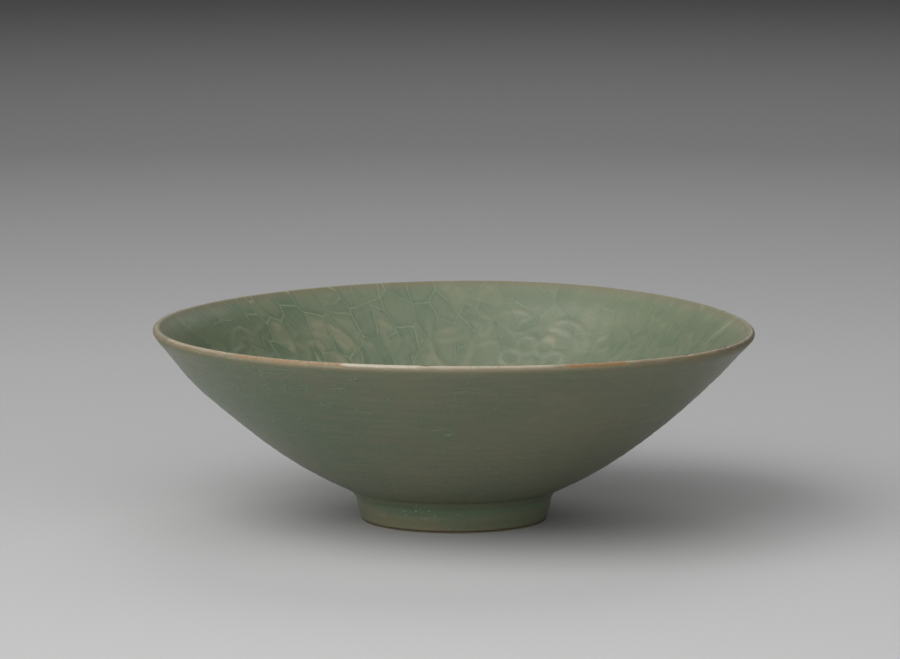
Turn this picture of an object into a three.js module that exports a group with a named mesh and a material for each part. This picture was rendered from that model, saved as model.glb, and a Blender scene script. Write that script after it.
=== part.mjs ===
// Relief-decorated celadon bowl: a wide conical stoneware bowl on a turned foot ring.
// Its inside is moulded with a scroll of six flower heads, leaves and curling stems.
// Millimetres, +Z up. The origin is the centre of the plane that the foot ring rests on.

import * as THREE from "three";
import { toCreasedNormals } from "three/addons/utils/BufferGeometryUtils.js";

// Sizes of the fired clay
const RIM_RADIUS = 93;
const HEIGHT = 60.5;
const WALL_AT_LIP = 2.5;
const WALL_AT_FOOT = 4.4;
const WALL_ANGLE_AT_FOOT = 22.5;
const WALL_ANGLE_AT_LIP = 48;
const WALL_SWEEP_AT_FOOT = 26.5;
const WALL_SWEEP_AT_LIP = 29;
const FOOT_RADIUS = 28;
const FOOT_HEIGHT = 9.3;
const FOOT_BATTER = 2;
const FOOT_RING_WIDTH = 4.6;
const FOOT_BEVEL = 0.6;
const FOOT_FILLET = 1.6;
const RECESS_DEPTH = 6;
const RECESS_BATTER = 0.8;
const RECESS_FILLET = 1.6;
const FLOOR_THICKNESS = 4.6;
const FLOOR_ANGLE_AT_WELL = 6;
const WELL_RADIUS = 15;
const WELL_STEP = 0.7;
const WELL_STEP_WIDTH = 1.2;

// Sizes of the glaze coats, which thin out where they stop short of the bare lip and foot
const INNER_GLAZE = 0.6;
const OUTER_GLAZE = 0.5;
const BASE_GLAZE = 0.5;
const GLAZE_EDGE = 0.2;
const GLAZE_FADE = 4;
const LIP_BARE_INSIDE = 0.4;
const LIP_BARE_OUTSIDE = 0.5;
const FOOT_BARE = 0.3;

// Quartz stubs left under the base where the bowl stood on spurs in the kiln. They stand this
// far in from the corner of the recess.
const SPUR_COUNT = 3;
const SPUR_INSET = 7.6;
const SPUR_RADIUS = 1.6;
const SPUR_TIP_RADIUS = 1.1;
const SPUR_HEIGHT = 0.6;
const SPUR_SIDES = 12;

// The moulded forms: how high they stand on the ground between them, and how wide they are
const RIM_HEIGHT = 0.8;
const DISH_HEIGHT = 0.2;
const DISH_RIM = 0.56;
const STEM_HEIGHT = 0.7;
const STEM_WIDTH = 3.4;
const STEM_TAPER = 5;
const LEAF_WIDTH = 6.4;
const SCROLL_REPEATS = 6;
const SCROLL_TURN = 68.8;
const FLOWER_BELOW_LIP = 33;
const FLOWER_PETALS = { count: 7, reach: 8.2, length: 10, breadth: 8 };
const FLOWER_BOSS = 3.8;
const BOSS_HEIGHT = 1;
const LAPPETS = { count: 12, reach: 27, length: 15, breadth: 12.6 };
const ROSETTE_PETALS = { count: 8, reach: 8.2, length: 8.4, breadth: 6.4 };
const ROSETTE_BOSS = 3.4;

// Middle lines of one repeat: degrees round from the flower head, and mm down from the lip
const STEMS = [
  [[26.7, 15], [26.7, 22], [26.4, 30], [22, 38], [12, 47], [0, 51], [-14, 47], [-28, 40], [-33.6, 30]],
  [[16.4, 25], [17, 31], [19.5, 37], [22.6, 38]],
];
const LEAVES = [
  [[26, 22.5], [22, 22.4], [17, 19.6]],
  [[20.6, 17.6], [17, 14.4], [13.4, 18.4], [14.8, 22.4]],
  [[37, 30.6], [32.8, 25.4], [28.4, 22.4]],
  [[-1.6, 17.4], [-6.4, 17.2], [-10.6, 20.8], [-12.6, 26.4]],
  [[-19, 16], [-23, 19.6], [-23.6, 25], [-19.4, 28]],
  [[-14, 43], [-15.4, 37], [-20.4, 32.4]],
  [[9, 47.5], [12, 42.6], [16.6, 40.4]],
  [[4, 52], [12, 57], [22, 55.4]],
  [[-8, 51], [-16, 56.6], [-26, 52]],
];

// How finely the faces are drawn
const COLUMNS = 48;
const POLE_COLUMNS = 12;
const PLAIN_ROW = 18;
const ROUND_ROW = 1.2;
const FORM_STEP = 2.7;
const GROUND_STEP = 7;
const LEAST_GAP = 0.8;
const LINE_STEPS = 20;

// Plane geometry of the profile, in a half-plane of radius and height

const rad = THREE.MathUtils.degToRad;
const lerp = THREE.MathUtils.lerp;
const point = (radius, height) => new THREE.Vector2(radius, height);
const heading = (degrees) => point(Math.cos(rad(degrees)), Math.sin(rad(degrees)));
const leftOf = (vector) => point(-vector.y, vector.x);
const along = (from, way, distance) => from.clone().addScaledVector(way, distance);
const turned = (place, degrees) => place.clone().rotateAround(point(0, 0), rad(degrees));

// Points of a curve between two distances from its start, no further apart than the spacing
function points(curve, spacing, from = 0, to = curve.getLength()) {
  const steps = Math.ceil(Math.abs(to - from) / spacing);
  const distances = Array.from({ length: steps + 1 }, (_, step) => lerp(from, to, step / steps));
  return distances.map((distance) => curve.getPointAt(distance / curve.getLength()));
}

function fillet(start, corner, end) {
  return points(new THREE.QuadraticBezierCurve(start, corner, end), ROUND_ROW);
}

// Points all round a middle
function round(radius, columns, turn = 0) {
  const degrees = Array.from({ length: columns }, (_, column) => (360 * (column + turn)) / columns);
  return degrees.map((angle) => heading(angle).multiplyScalar(radius));
}

// One run of points from several that share their end points
const joined = (...runs) => runs.flatMap((run, index) => (index ? run.slice(1) : run));

// Profile of the clay, from the middle of the floor, over the lip and round to the base

const lipRound = WALL_AT_LIP / 2;
const lipCentre = point(RIM_RADIUS - lipRound, HEIGHT - lipRound);
const lipWay = heading(WALL_ANGLE_AT_LIP);
const footWay = heading(WALL_ANGLE_AT_FOOT);
const footCorner = point(FOOT_RADIUS + FOOT_BATTER, FOOT_HEIGHT);
const wallTop = along(lipCentre, leftOf(lipWay), -lipRound);
const outerWall = new THREE.CubicBezierCurve(
  footCorner,
  along(footCorner, footWay, WALL_SWEEP_AT_FOOT),
  along(wallTop, lipWay, -WALL_SWEEP_AT_LIP),
  wallTop,
);

// The inner wall lies inside the outer one by a thickness that tapers towards the lip
class InnerWall extends THREE.Curve {
  getPoint(share) {
    const thickness = lerp(WALL_AT_FOOT, WALL_AT_LIP, share);
    return along(outerWall.getPoint(share), leftOf(outerWall.getTangent(share)), thickness);
  }
}

const innerWall = new InnerWall();
const floorMiddle = point(0, RECESS_DEPTH + FLOOR_THICKNESS);
const wellEdge = point(WELL_RADIUS, floorMiddle.y);
const floorEdge = along(wellEdge, point(WELL_STEP_WIDTH, WELL_STEP), 1);
const wallStart = innerWall.getPoint(0);
const floorSweep = floorEdge.distanceTo(wallStart) / 3;
const floorRise = new THREE.CubicBezierCurve(
  floorEdge,
  along(floorEdge, heading(FLOOR_ANGLE_AT_WELL), floorSweep),
  along(wallStart, footWay, -floorSweep),
  wallStart,
);
const well = new THREE.LineCurve(floorMiddle, wellEdge);
const wellStep = new THREE.LineCurve(wellEdge, floorEdge);
const innerGlazeEnd = innerWall.getLength() - LIP_BARE_INSIDE;

function insideProfile(spacing) {
  return joined(
    points(well, spacing),
    points(wellStep, spacing),
    points(floorRise, spacing),
    points(innerWall, spacing, 0, innerGlazeEnd),
  );
}

const quarterTurn = Math.PI / 2;
const lipProfile = joined(
  points(innerWall, PLAIN_ROW, innerGlazeEnd),
  points(
    new THREE.EllipseCurve(
      lipCentre.x,
      lipCentre.y,
      lipRound,
      lipRound,
      rad(WALL_ANGLE_AT_LIP) + quarterTurn,
      rad(WALL_ANGLE_AT_LIP) - quarterTurn,
      true,
    ),
    ROUND_ROW,
  ),
  points(outerWall, PLAIN_ROW, outerWall.getLength(), outerWall.getLength() - LIP_BARE_OUTSIDE),
);

const footBevelTop = point(FOOT_RADIUS, FOOT_BEVEL);
const footSide = new THREE.LineCurve(footCorner, footBevelTop);
const outerGlazeEnd = footSide.getLength() - FOOT_BARE;
const footFilletStart = outerWall.getPointAt(FOOT_FILLET / outerWall.getLength());
const footFilletEnd = footSide.getPointAt(FOOT_FILLET / footSide.getLength());

const outsideProfile = joined(
  points(outerWall, PLAIN_ROW, outerWall.getLength() - LIP_BARE_OUTSIDE, FOOT_FILLET),
  fillet(footFilletStart, footCorner, footFilletEnd),
  points(footSide, PLAIN_ROW, FOOT_FILLET, outerGlazeEnd),
);

const ringInner = FOOT_RADIUS - FOOT_RING_WIDTH;
const recessCorner = point(ringInner - RECESS_BATTER, RECESS_DEPTH);
const recessSide = new THREE.LineCurve(point(ringInner, FOOT_BEVEL), recessCorner);

const restingProfile = [
  footSide.getPointAt(outerGlazeEnd / footSide.getLength()),
  footBevelTop,
  point(FOOT_RADIUS - FOOT_BEVEL, 0),
  point(ringInner + FOOT_BEVEL, 0),
  point(ringInner, FOOT_BEVEL),
  recessSide.getPointAt(FOOT_BARE / recessSide.getLength()),
];

const recessFilletStart = recessSide.getPointAt(1 - RECESS_FILLET / recessSide.getLength());
const recessFilletEnd = along(recessCorner, point(-1, 0), RECESS_FILLET);
const baseProfile = joined(
  points(recessSide, PLAIN_ROW, FOOT_BARE, recessSide.getLength() - RECESS_FILLET),
  fillet(recessFilletStart, recessCorner, recessFilletEnd),
  points(new THREE.LineCurve(recessFilletEnd, point(0, RECESS_DEPTH)), PLAIN_ROW),
);

// Stations of a profile: each point, the way out of the clay there, and how far along it lies
function stations(profile) {
  let travelled = 0;
  return profile.map((at, index) => {
    const before = profile[Math.max(index - 1, 0)];
    const after = profile[Math.min(index + 1, profile.length - 1)];
    travelled += at.distanceTo(before);
    return { at, out: leftOf(after.clone().sub(before).normalize()), travelled };
  });
}

// The inside rolled flat round the middle of the floor. A place there is a point in mm, whose
// distance from the middle runs along the profile, and whose direction is that round the axis.

const inside = stations(insideProfile(1));
const insideLength = inside.at(-1).travelled;
const crest = insideLength + LIP_BARE_INSIDE + lipRound * rad(WALL_ANGLE_AT_LIP);

// Station of the clay's inside at a distance from the middle of the floor
function insideAt(reach) {
  const index = inside.findIndex(({ travelled }) => travelled >= Math.min(reach, insideLength));
  const [before, after] = [inside[Math.max(index, 1) - 1], inside[Math.max(index, 1)]];
  const share = (reach - before.travelled) / (after.travelled - before.travelled);
  const out = before.out.clone().lerp(after.out, share).normalize();
  return { at: before.at.clone().lerp(after.at, share), out };
}

// Heights of the moulded forms. Share is 0 in the middle of a form and 1 at its edge

const rounded = (share) => (share < 1 ? (1 + Math.cos(Math.PI * share)) / 2 : 0);

// A petal or leaf is dished, with a raised rim
function dished(share) {
  if (share > DISH_RIM) return RIM_HEIGHT * rounded((share - DISH_RIM) / (1 - DISH_RIM));
  return lerp(DISH_HEIGHT, RIM_HEIGHT, THREE.MathUtils.smoothstep(share, 0, DISH_RIM));
}

// Petals round a middle, at a place told from it. The first gap between them points along X.
function petalHeight(place, { count, reach, length, breadth }) {
  const step = 360 / count;
  const middle = (Math.floor(THREE.MathUtils.radToDeg(place.angle()) / step) + 0.5) * step;
  const onPetal = turned(place, -middle);
  return dished(Math.hypot((onPetal.x - reach) / (length / 2), onPetal.y / (breadth / 2)));
}

const bossHeight = (place, radius) => BOSS_HEIGHT * rounded(place.length() / radius);

// One repeat of the scroll lies on the flat with its flower head on the X axis

const pitch = 360 / SCROLL_REPEATS;
const onFlat = ([degrees, down]) => heading(degrees).multiplyScalar(crest - down);
const flower = onFlat([0, FLOWER_BELOW_LIP]);
const scrollLines = (lines) => lines.map((line) => new THREE.SplineCurve(line.map(onFlat)));
const leafHalfWidth = (share) => LEAF_WIDTH * Math.sqrt(share * (1 - share));
const stemHalfWidth = (share) => (STEM_WIDTH / 2) * Math.sqrt(Math.min(STEM_TAPER * share, 1));
const stems = scrollLines(STEMS);
const leaves = scrollLines(LEAVES);
const stemSteps = stems.map((line) => line.getSpacedPoints(LINE_STEPS));
const leafSteps = leaves.map((line) => line.getSpacedPoints(LINE_STEPS));

// Height of a form that follows a line, at a place
function lineHeight(place, steps, halfWidth, height) {
  let [least, share] = [Infinity, 0];
  for (let index = 1; index < steps.length; index += 1) {
    const way = steps[index].clone().sub(steps[index - 1]);
    const reached = place.clone().sub(steps[index - 1]).dot(way) / way.lengthSq();
    const onWay = THREE.MathUtils.clamp(reached, 0, 1);
    const distance = place.distanceTo(along(steps[index - 1], way, onWay));
    if (distance < least) [least, share] = [distance, (index - 1 + onWay) / (steps.length - 1)];
  }
  return least < halfWidth(share) ? height(least / halfWidth(share)) : 0;
}

// Height of the whole ornament at a place: the scroll, the ring of lappets or the rosette
function ornamentHeight(place) {
  const turns = Math.round((THREE.MathUtils.radToDeg(place.angle()) - SCROLL_TURN) / pitch);
  const inRepeat = turned(place, -SCROLL_TURN - turns * pitch);
  const stem = (share) => STEM_HEIGHT * rounded(share);
  const onLines = [-pitch, 0, pitch].flatMap((shift) => {
    const shifted = turned(inRepeat, shift);
    return [
      ...stemSteps.map((steps) => lineHeight(shifted, steps, stemHalfWidth, stem)),
      ...leafSteps.map((steps) => lineHeight(shifted, steps, leafHalfWidth, dished)),
    ];
  });
  const fromFlower = inRepeat.clone().sub(flower);
  return Math.max(
    ...onLines,
    petalHeight(fromFlower, FLOWER_PETALS),
    bossHeight(fromFlower, FLOWER_BOSS),
    petalHeight(place, ROSETTE_PETALS),
    bossHeight(place, ROSETTE_BOSS),
    petalHeight(place, LAPPETS),
  );
}

// Sites are the places on the flat where the moulded face has its corners. They follow the
// rims, middles and edges of the forms, so that few faces draw them crisply.

function petalSites({ count, reach, length, breadth }) {
  const step = 360 / count;
  const sites = [];
  for (const share of [DISH_RIM, 0, 1]) {
    const around = Math.max(1, Math.round((Math.PI * share * (length + breadth)) / 2 / FORM_STEP));
    for (let index = 0; index < count * around; index += 1) {
      const way = heading((360 * (index % around)) / around).multiplyScalar(share);
      const outwards = reach + (length / 2) * way.x;
      const halfway = outwards * Math.tan(rad(step / 2));
      const across = THREE.MathUtils.clamp((breadth / 2) * way.y, -halfway, halfway);
      sites.push(turned(point(outwards, across), (Math.floor(index / around) + 0.5) * step));
    }
  }
  return sites;
}

function bossSites(radius) {
  const around = Math.round((2 * Math.PI * radius) / FORM_STEP);
  return [point(0, 0), ...round(radius / 2, Math.ceil(around / 2)), ...round(radius, around)];
}

// Sites to both sides of a line, at a share of its half width, or on the line at a share of 0
function lineSites(line, halfWidth, share) {
  const shares = Array.from({ length: LINE_STEPS + 1 }, (_, step) => step / LINE_STEPS);
  return [-share, share].flatMap((side) => {
    const beside = shares.map((at) => {
      return along(line.getPointAt(at), leftOf(line.getTangentAt(at)), side * halfWidth(at));
    });
    return points(new THREE.SplineCurve(beside), FORM_STEP);
  });
}

function scrollSites() {
  const inRepeat = [
    ...[...bossSites(FLOWER_BOSS), ...petalSites(FLOWER_PETALS)].map((site) => site.add(flower)),
    ...stems.flatMap((line) => lineSites(line, stemHalfWidth, 0)),
    ...leaves.flatMap((line) => lineSites(line, leafHalfWidth, DISH_RIM)),
    ...leaves.flatMap((line) => lineSites(line, leafHalfWidth, 1)),
    ...leaves.flatMap((line) => lineSites(line, leafHalfWidth, 0)),
    ...stems.flatMap((line) => lineSites(line, stemHalfWidth, 1)),
  ];
  const repeats = Array.from({ length: SCROLL_REPEATS }, (_, repeat) => SCROLL_TURN + repeat * pitch);
  return inRepeat.flatMap((site) => repeats.map((degrees) => turned(site, degrees)));
}

// Rings of sites over the plain ground, about as far apart as the ground step
function groundSites() {
  const wellTop = WELL_RADIUS + wellStep.getLength();
  const rows = Math.floor((insideLength - GLAZE_FADE - wellTop) / GROUND_STEP);
  const reaches = Array.from({ length: rows }, (_, row) => {
    return lerp(wellTop, insideLength - GLAZE_FADE, row / rows);
  });
  return [WELL_RADIUS, ...reaches].flatMap((reach, row) => {
    const inRepeat = Math.round((2 * Math.PI * reach) / SCROLL_REPEATS / GROUND_STEP);
    return round(reach, SCROLL_REPEATS * inRepeat, row / 2);
  });
}

// Sites that lie no nearer to an earlier one than the gap
function spaced(sites, gap) {
  const kept = [];
  for (const site of sites) {
    if (kept.every((other) => site.distanceTo(other) > gap)) kept.push(site);
  }
  return kept;
}

// A face of three sites, with the circle through them
function circled(sites, corners) {
  const [start, p, q] = corners.map((corner) => sites[corner].clone());
  p.sub(start);
  q.sub(start);
  const twice = 2 * p.cross(q);
  const centre = point(q.y * p.lengthSq() - p.y * q.lengthSq(), p.x * q.lengthSq() - q.x * p.lengthSq());
  centre.divideScalar(twice);
  return { corners, squared: centre.lengthSq(), centre: centre.add(start) };
}

// Delaunay faces of the sites. Each site opens the faces whose circles it lies in, and closes
// the hole with faces of its own. Sites are nudged by a hair, because sites that lie on one
// circle would leave the faces undecided, and the first face is far larger than the flat.
function triangulate(sites) {
  const nudge = 1e-4;
  const far = 1e3 * insideLength;
  const nudged = sites.map((site, index) => along(site, heading(index * index), nudge));
  const all = [...nudged, ...round(far, 3)];
  const count = sites.length;
  let faces = [circled(all, [count, count + 1, count + 2])];
  nudged.forEach((site, index) => {
    const hole = new Map();
    const opened = faces.filter(({ centre, squared }) => site.distanceToSquared(centre) < squared);
    for (const { corners } of opened) {
      corners.forEach((start, corner) => {
        const end = corners[(corner + 1) % 3];
        if (!hole.delete(`${end} ${start}`)) hole.set(`${start} ${end}`, [start, end]);
      });
    }
    const kept = faces.filter(({ centre, squared }) => site.distanceToSquared(centre) >= squared);
    faces = [...kept, ...[...hole.values()].map(([start, end]) => circled(all, [start, end, index]))];
  });
  return faces.map(({ corners }) => corners).filter((corners) => Math.max(...corners) < count);
}

// Faces are drawn as bands between rings of points round the axis. A band that two pieces
// share is drawn once and turned over for the second, so that they meet on the same faces.

// A ring round the axis, lifted off the clay
function ring({ at, out }, lift = 0) {
  const columns = at.x < WELL_RADIUS ? POLE_COLUMNS : COLUMNS;
  const raised = along(at, out, lift);
  if (at.x === 0) return [new THREE.Vector3(0, 0, raised.y)];
  return round(raised.x, columns).map(({ x, y }) => new THREE.Vector3(x, y, raised.y));
}

// Faces between two rings, which step round whichever of them is behind. A ring of one point
// has no steps of its own.
function band(first, second) {
  const [stepsA, stepsB] = [first, second].map(({ length }) => (length > 1 ? length : 0));
  const faces = [];
  let [a, b] = [0, 0];
  while (a < stepsA || b < stepsB) {
    const here = first[a % first.length];
    const there = second[b % second.length];
    if (b === stepsB || (a < stepsA && (a + 1) / stepsA <= (b + 1) / stepsB)) {
      a += 1;
      faces.push([here, there, first[a % first.length]]);
    } else {
      b += 1;
      faces.push([here, there, second[b % second.length]]);
    }
  }
  return faces;
}

const skin = (rings) => rings.slice(1).flatMap((next, index) => band(rings[index], next));
const turnedOver = (faces) => faces.map(([a, b, c]) => [a, c, b]);
const plainRings = (profile) => stations(profile).map((station) => ring(station));

// Thickness of a coat at a distance from its nearest bare end
function coatThickness(full, toBareEnd) {
  return lerp(GLAZE_EDGE, full, THREE.MathUtils.smoothstep(toBareEnd, 0, GLAZE_FADE));
}

function solid(name, faces, material) {
  const geometry = new THREE.BufferGeometry().setFromPoints(faces.flat());
  const mesh = new THREE.Mesh(toCreasedNormals(geometry, rad(40)), material);
  mesh.name = name;
  return mesh;
}

const finishes = {
  stoneware: new THREE.MeshStandardMaterial({ color: "#b09b80", roughness: 0.75, metalness: 0 }),
  innerGlaze: new THREE.MeshStandardMaterial({ color: "#748274", roughness: 0.28, metalness: 0 }),
  outerGlaze: new THREE.MeshStandardMaterial({ color: "#6c6a56", roughness: 0.32, metalness: 0 }),
  quartz: new THREE.MeshStandardMaterial({ color: "#d9d4c6", roughness: 0.85, metalness: 0 }),
};

// The pieces

const insideRings = plainRings(insideProfile(PLAIN_ROW));
const outsideRings = plainRings(outsideProfile);
const baseRings = plainRings(baseProfile);

function stonewareBody() {
  const rings = [insideRings, plainRings(lipProfile), outsideRings, plainRings(restingProfile), baseRings];
  return solid("stoneware_body", rings.flatMap(skin), finishes.stoneware);
}

// A coat between the clay's faces and its own, with an edge face at each bare end
function coat(name, clayRings, rings, edges, material) {
  return solid(name, [...turnedOver(skin(clayRings)), ...skin(rings), ...edges], material);
}

function outerGlaze() {
  const list = stations(outsideProfile);
  const length = list.at(-1).travelled;
  const rings = list.map((station) => {
    const toBareEnd = Math.min(station.travelled, length - station.travelled);
    return ring(station, coatThickness(OUTER_GLAZE, toBareEnd));
  });
  const edges = [...band(outsideRings[0], rings[0]), ...band(rings.at(-1), outsideRings.at(-1))];
  return coat("outer_glaze", outsideRings, rings, edges, finishes.outerGlaze);
}

function baseGlaze() {
  const rings = stations(baseProfile).map((station) => {
    return ring(station, coatThickness(BASE_GLAZE, station.travelled));
  });
  return coat("base_glaze", baseRings, rings, band(baseRings[0], rings[0]), finishes.outerGlaze);
}

// Corner of the moulded face at a site
function mouldedCorner(site) {
  const { at, out } = insideAt(site.length());
  const thickness = coatThickness(INNER_GLAZE, insideLength - site.length());
  const raised = along(at, out, thickness + ornamentHeight(site));
  const { x, y } = site.clone().normalize().multiplyScalar(raised.x);
  return new THREE.Vector3(x, y, raised.y);
}

// The inside coat carries the ornament on its face. Its first sites are the ring at its bare end
function innerGlaze() {
  const plainEnd = [round(insideLength, COLUMNS), round(insideLength - GLAZE_FADE, COLUMNS, 0.5)];
  const rosette = [bossSites(ROSETTE_BOSS), petalSites(ROSETTE_PETALS), petalSites(LAPPETS)];
  const sites = spaced([...plainEnd, scrollSites(), ...rosette, groundSites()].flat(), LEAST_GAP);
  const corners = sites.map(mouldedCorner);
  const face = triangulate(sites).map((places) => places.map((index) => corners[index]));
  const edge = band(corners.slice(0, COLUMNS), insideRings.at(-1));
  return solid("inner_glaze", [...turnedOver(skin(insideRings)), ...face, ...edge], finishes.innerGlaze);
}

function spurMark(index) {
  const geometry = new THREE.CylinderGeometry(SPUR_RADIUS, SPUR_TIP_RADIUS, SPUR_HEIGHT, SPUR_SIDES);
  const mesh = new THREE.Mesh(geometry.rotateX(quarterTurn), finishes.quartz);
  const middle = heading((360 * index) / SPUR_COUNT).multiplyScalar(recessCorner.x - SPUR_INSET);
  mesh.position.set(middle.x, middle.y, RECESS_DEPTH - BASE_GLAZE - SPUR_HEIGHT / 2);
  mesh.name = `spur_mark_${index + 1}`;
  return mesh;
}

const bowl = new THREE.Group();
bowl.add(stonewareBody(), innerGlaze(), outerGlaze(), baseGlaze());
for (let index = 0; index < SPUR_COUNT; index += 1) bowl.add(spurMark(index));

export default bowl;
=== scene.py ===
"""Looks of a moulded celadon bowl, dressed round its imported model.

The bowl was thrown, pressed over a carved mould, turned at the foot and fired under a grey-green
glaze. Shapes are worked out in millimetres, with the origin under the middle of the foot, and go
into the meshes in metres. Angles run round the axis from +X, and reach is the distance along the
bowl's profile from the middle of its floor.
"""

import logging
import math
from dataclasses import dataclass, field
from enum import Enum
from typing import Callable, Mapping, Sequence

import bmesh
import bpy
import numpy as np
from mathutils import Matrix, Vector


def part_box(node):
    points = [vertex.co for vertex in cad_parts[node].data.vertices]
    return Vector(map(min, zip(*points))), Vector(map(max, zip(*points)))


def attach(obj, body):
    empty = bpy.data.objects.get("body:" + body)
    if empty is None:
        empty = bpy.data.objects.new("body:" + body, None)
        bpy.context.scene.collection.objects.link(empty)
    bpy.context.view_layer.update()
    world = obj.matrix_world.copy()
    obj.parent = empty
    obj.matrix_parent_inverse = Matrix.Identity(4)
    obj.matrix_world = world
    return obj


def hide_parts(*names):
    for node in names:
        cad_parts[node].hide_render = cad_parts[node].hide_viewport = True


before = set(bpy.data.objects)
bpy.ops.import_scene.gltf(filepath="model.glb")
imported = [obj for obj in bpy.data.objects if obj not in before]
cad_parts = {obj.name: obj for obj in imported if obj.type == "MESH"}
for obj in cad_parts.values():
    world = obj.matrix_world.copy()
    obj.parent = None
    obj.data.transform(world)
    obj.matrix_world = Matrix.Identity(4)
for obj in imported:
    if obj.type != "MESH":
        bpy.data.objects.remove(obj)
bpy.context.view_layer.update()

MM = 0.001
LOG = logging.getLogger("bowl")


class Coat(Enum):
    """The places that the bowl is glazed, by the name of the node that each coat stands for."""

    INSIDE = "inner_glaze"
    OUTSIDE = "outer_glaze"
    BASE = "base_glaze"


def to_linear(colour: str) -> tuple[float, float, float, float]:
    """Turns an sRGB colour to linear.

    Args:
        colour: Six hexadecimal digits after a hash.

    Returns:
        Red, green, blue and an alpha of 1.
    """
    channels = [int(colour[place : place + 2], 16) / 255 for place in (1, 3, 5)]
    linear = [c / 12.92 if c <= 0.04045 else ((c + 0.055) / 1.055) ** 2.4 for c in channels]
    return (*linear, 1.0)


def per_metre(millimetres: float) -> float:
    """Scale of a pattern on Object coordinates whose features are this large."""
    return 1 / (millimetres * MM)


def smooth(values: np.ndarray, start: float, end: float) -> np.ndarray:
    """Eases from 0 at the start to 1 at the end, and stays there."""
    share = np.clip((values - start) / (end - start), 0, 1)
    return share * share * (3 - 2 * share)


def within(values: np.ndarray, start: tuple[float, float], end: tuple[float, float]) -> np.ndarray:
    """Eases from 0 to 1 between the two starts, and back to 0 between the two ends."""
    return smooth(values, *start) * smooth(values, *end[::-1])


def heading(degrees: float) -> np.ndarray:
    """Unit vector at an angle in a plane."""
    return np.array([math.cos(math.radians(degrees)), math.sin(math.radians(degrees))])


def turn_from(angle: float, degrees: np.ndarray) -> np.ndarray:
    """The shorter turn from an angle to others, in degrees."""
    return (degrees - angle + 180) % 360 - 180


def left_of(ways: np.ndarray) -> np.ndarray:
    """Turns vectors in a plane a quarter turn to the left."""
    return np.stack([-ways[..., 1], ways[..., 0]], axis=-1)


def outs_of(points: np.ndarray) -> np.ndarray:
    """Way to the left of a run at each of its points.

    Args:
        points: Points of the run.

    Returns:
        Unit vectors.
    """
    ways = np.gradient(points, axis=0)
    ways /= np.linalg.norm(ways, axis=1)[:, None]
    return left_of(ways)


def lengths_along(points: np.ndarray) -> np.ndarray:
    """Distance of each point of a run from its start, along the run."""
    return np.concatenate([[0], np.cumsum(np.linalg.norm(np.diff(points, axis=0), axis=1))])


def between(at: np.ndarray, places: np.ndarray, pairs: np.ndarray) -> np.ndarray:
    """Reads pairs of numbers at or between the places that they belong to."""
    return np.stack([np.interp(at, places, pairs[:, axis]) for axis in (0, 1)], axis=1)


def walked(points: np.ndarray, distances: np.ndarray) -> np.ndarray:
    """Points of a run at distances from its start."""
    return between(distances, lengths_along(points), points)


def stepped(marks: Sequence[tuple[float, float]], end: float) -> np.ndarray:
    """Distances from the first mark to the end.

    Args:
        marks: Distances, each with the step that is kept from there on.
        end: The last distance.

    Returns:
        The distances, evenly spaced between marks.
    """
    stops = [start for start, _ in marks[1:]] + [end]
    runs = [
        np.linspace(start, stop, max(1, round((stop - start) / step)), endpoint=False)
        for (start, step), stop in zip(marks, stops)
    ]
    return np.concatenate([*runs, [end]])


def curved(corners: Sequence[np.ndarray], steps: int = 400) -> np.ndarray:
    """Points of a Bezier curve.

    Args:
        corners: Its three or four control points.
        steps: How many points it gets.

    Returns:
        The points, with both ends.
    """
    shares = np.linspace(0, 1, steps)[:, None]
    degree = len(corners) - 1
    terms = [
        math.comb(degree, index) * shares**index * (1 - shares) ** (degree - index) * corner
        for index, corner in enumerate(corners)
    ]
    return np.sum(terms, axis=0)


def catmull(knots: np.ndarray, steps: int) -> np.ndarray:
    """Points of a smooth curve through knots.

    Args:
        knots: The points that it goes through.
        steps: How many points it gets.

    Returns:
        The points, with both ends.
    """
    padded = np.concatenate([knots[:1], knots, knots[-1:]])
    at = np.linspace(0, len(knots) - 1 - 1e-9, steps)
    index = at.astype(int)
    share = (at - index)[:, None]
    before, start, end, after = (padded[index + shift] for shift in range(4))
    slope_start = (end - before) / 2
    slope_end = (after - start) / 2
    cubic = 2 * start - 2 * end + slope_start + slope_end
    square = -3 * start + 3 * end - 2 * slope_start - slope_end
    return ((cubic * share + square) * share + slope_start) * share + start


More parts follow.
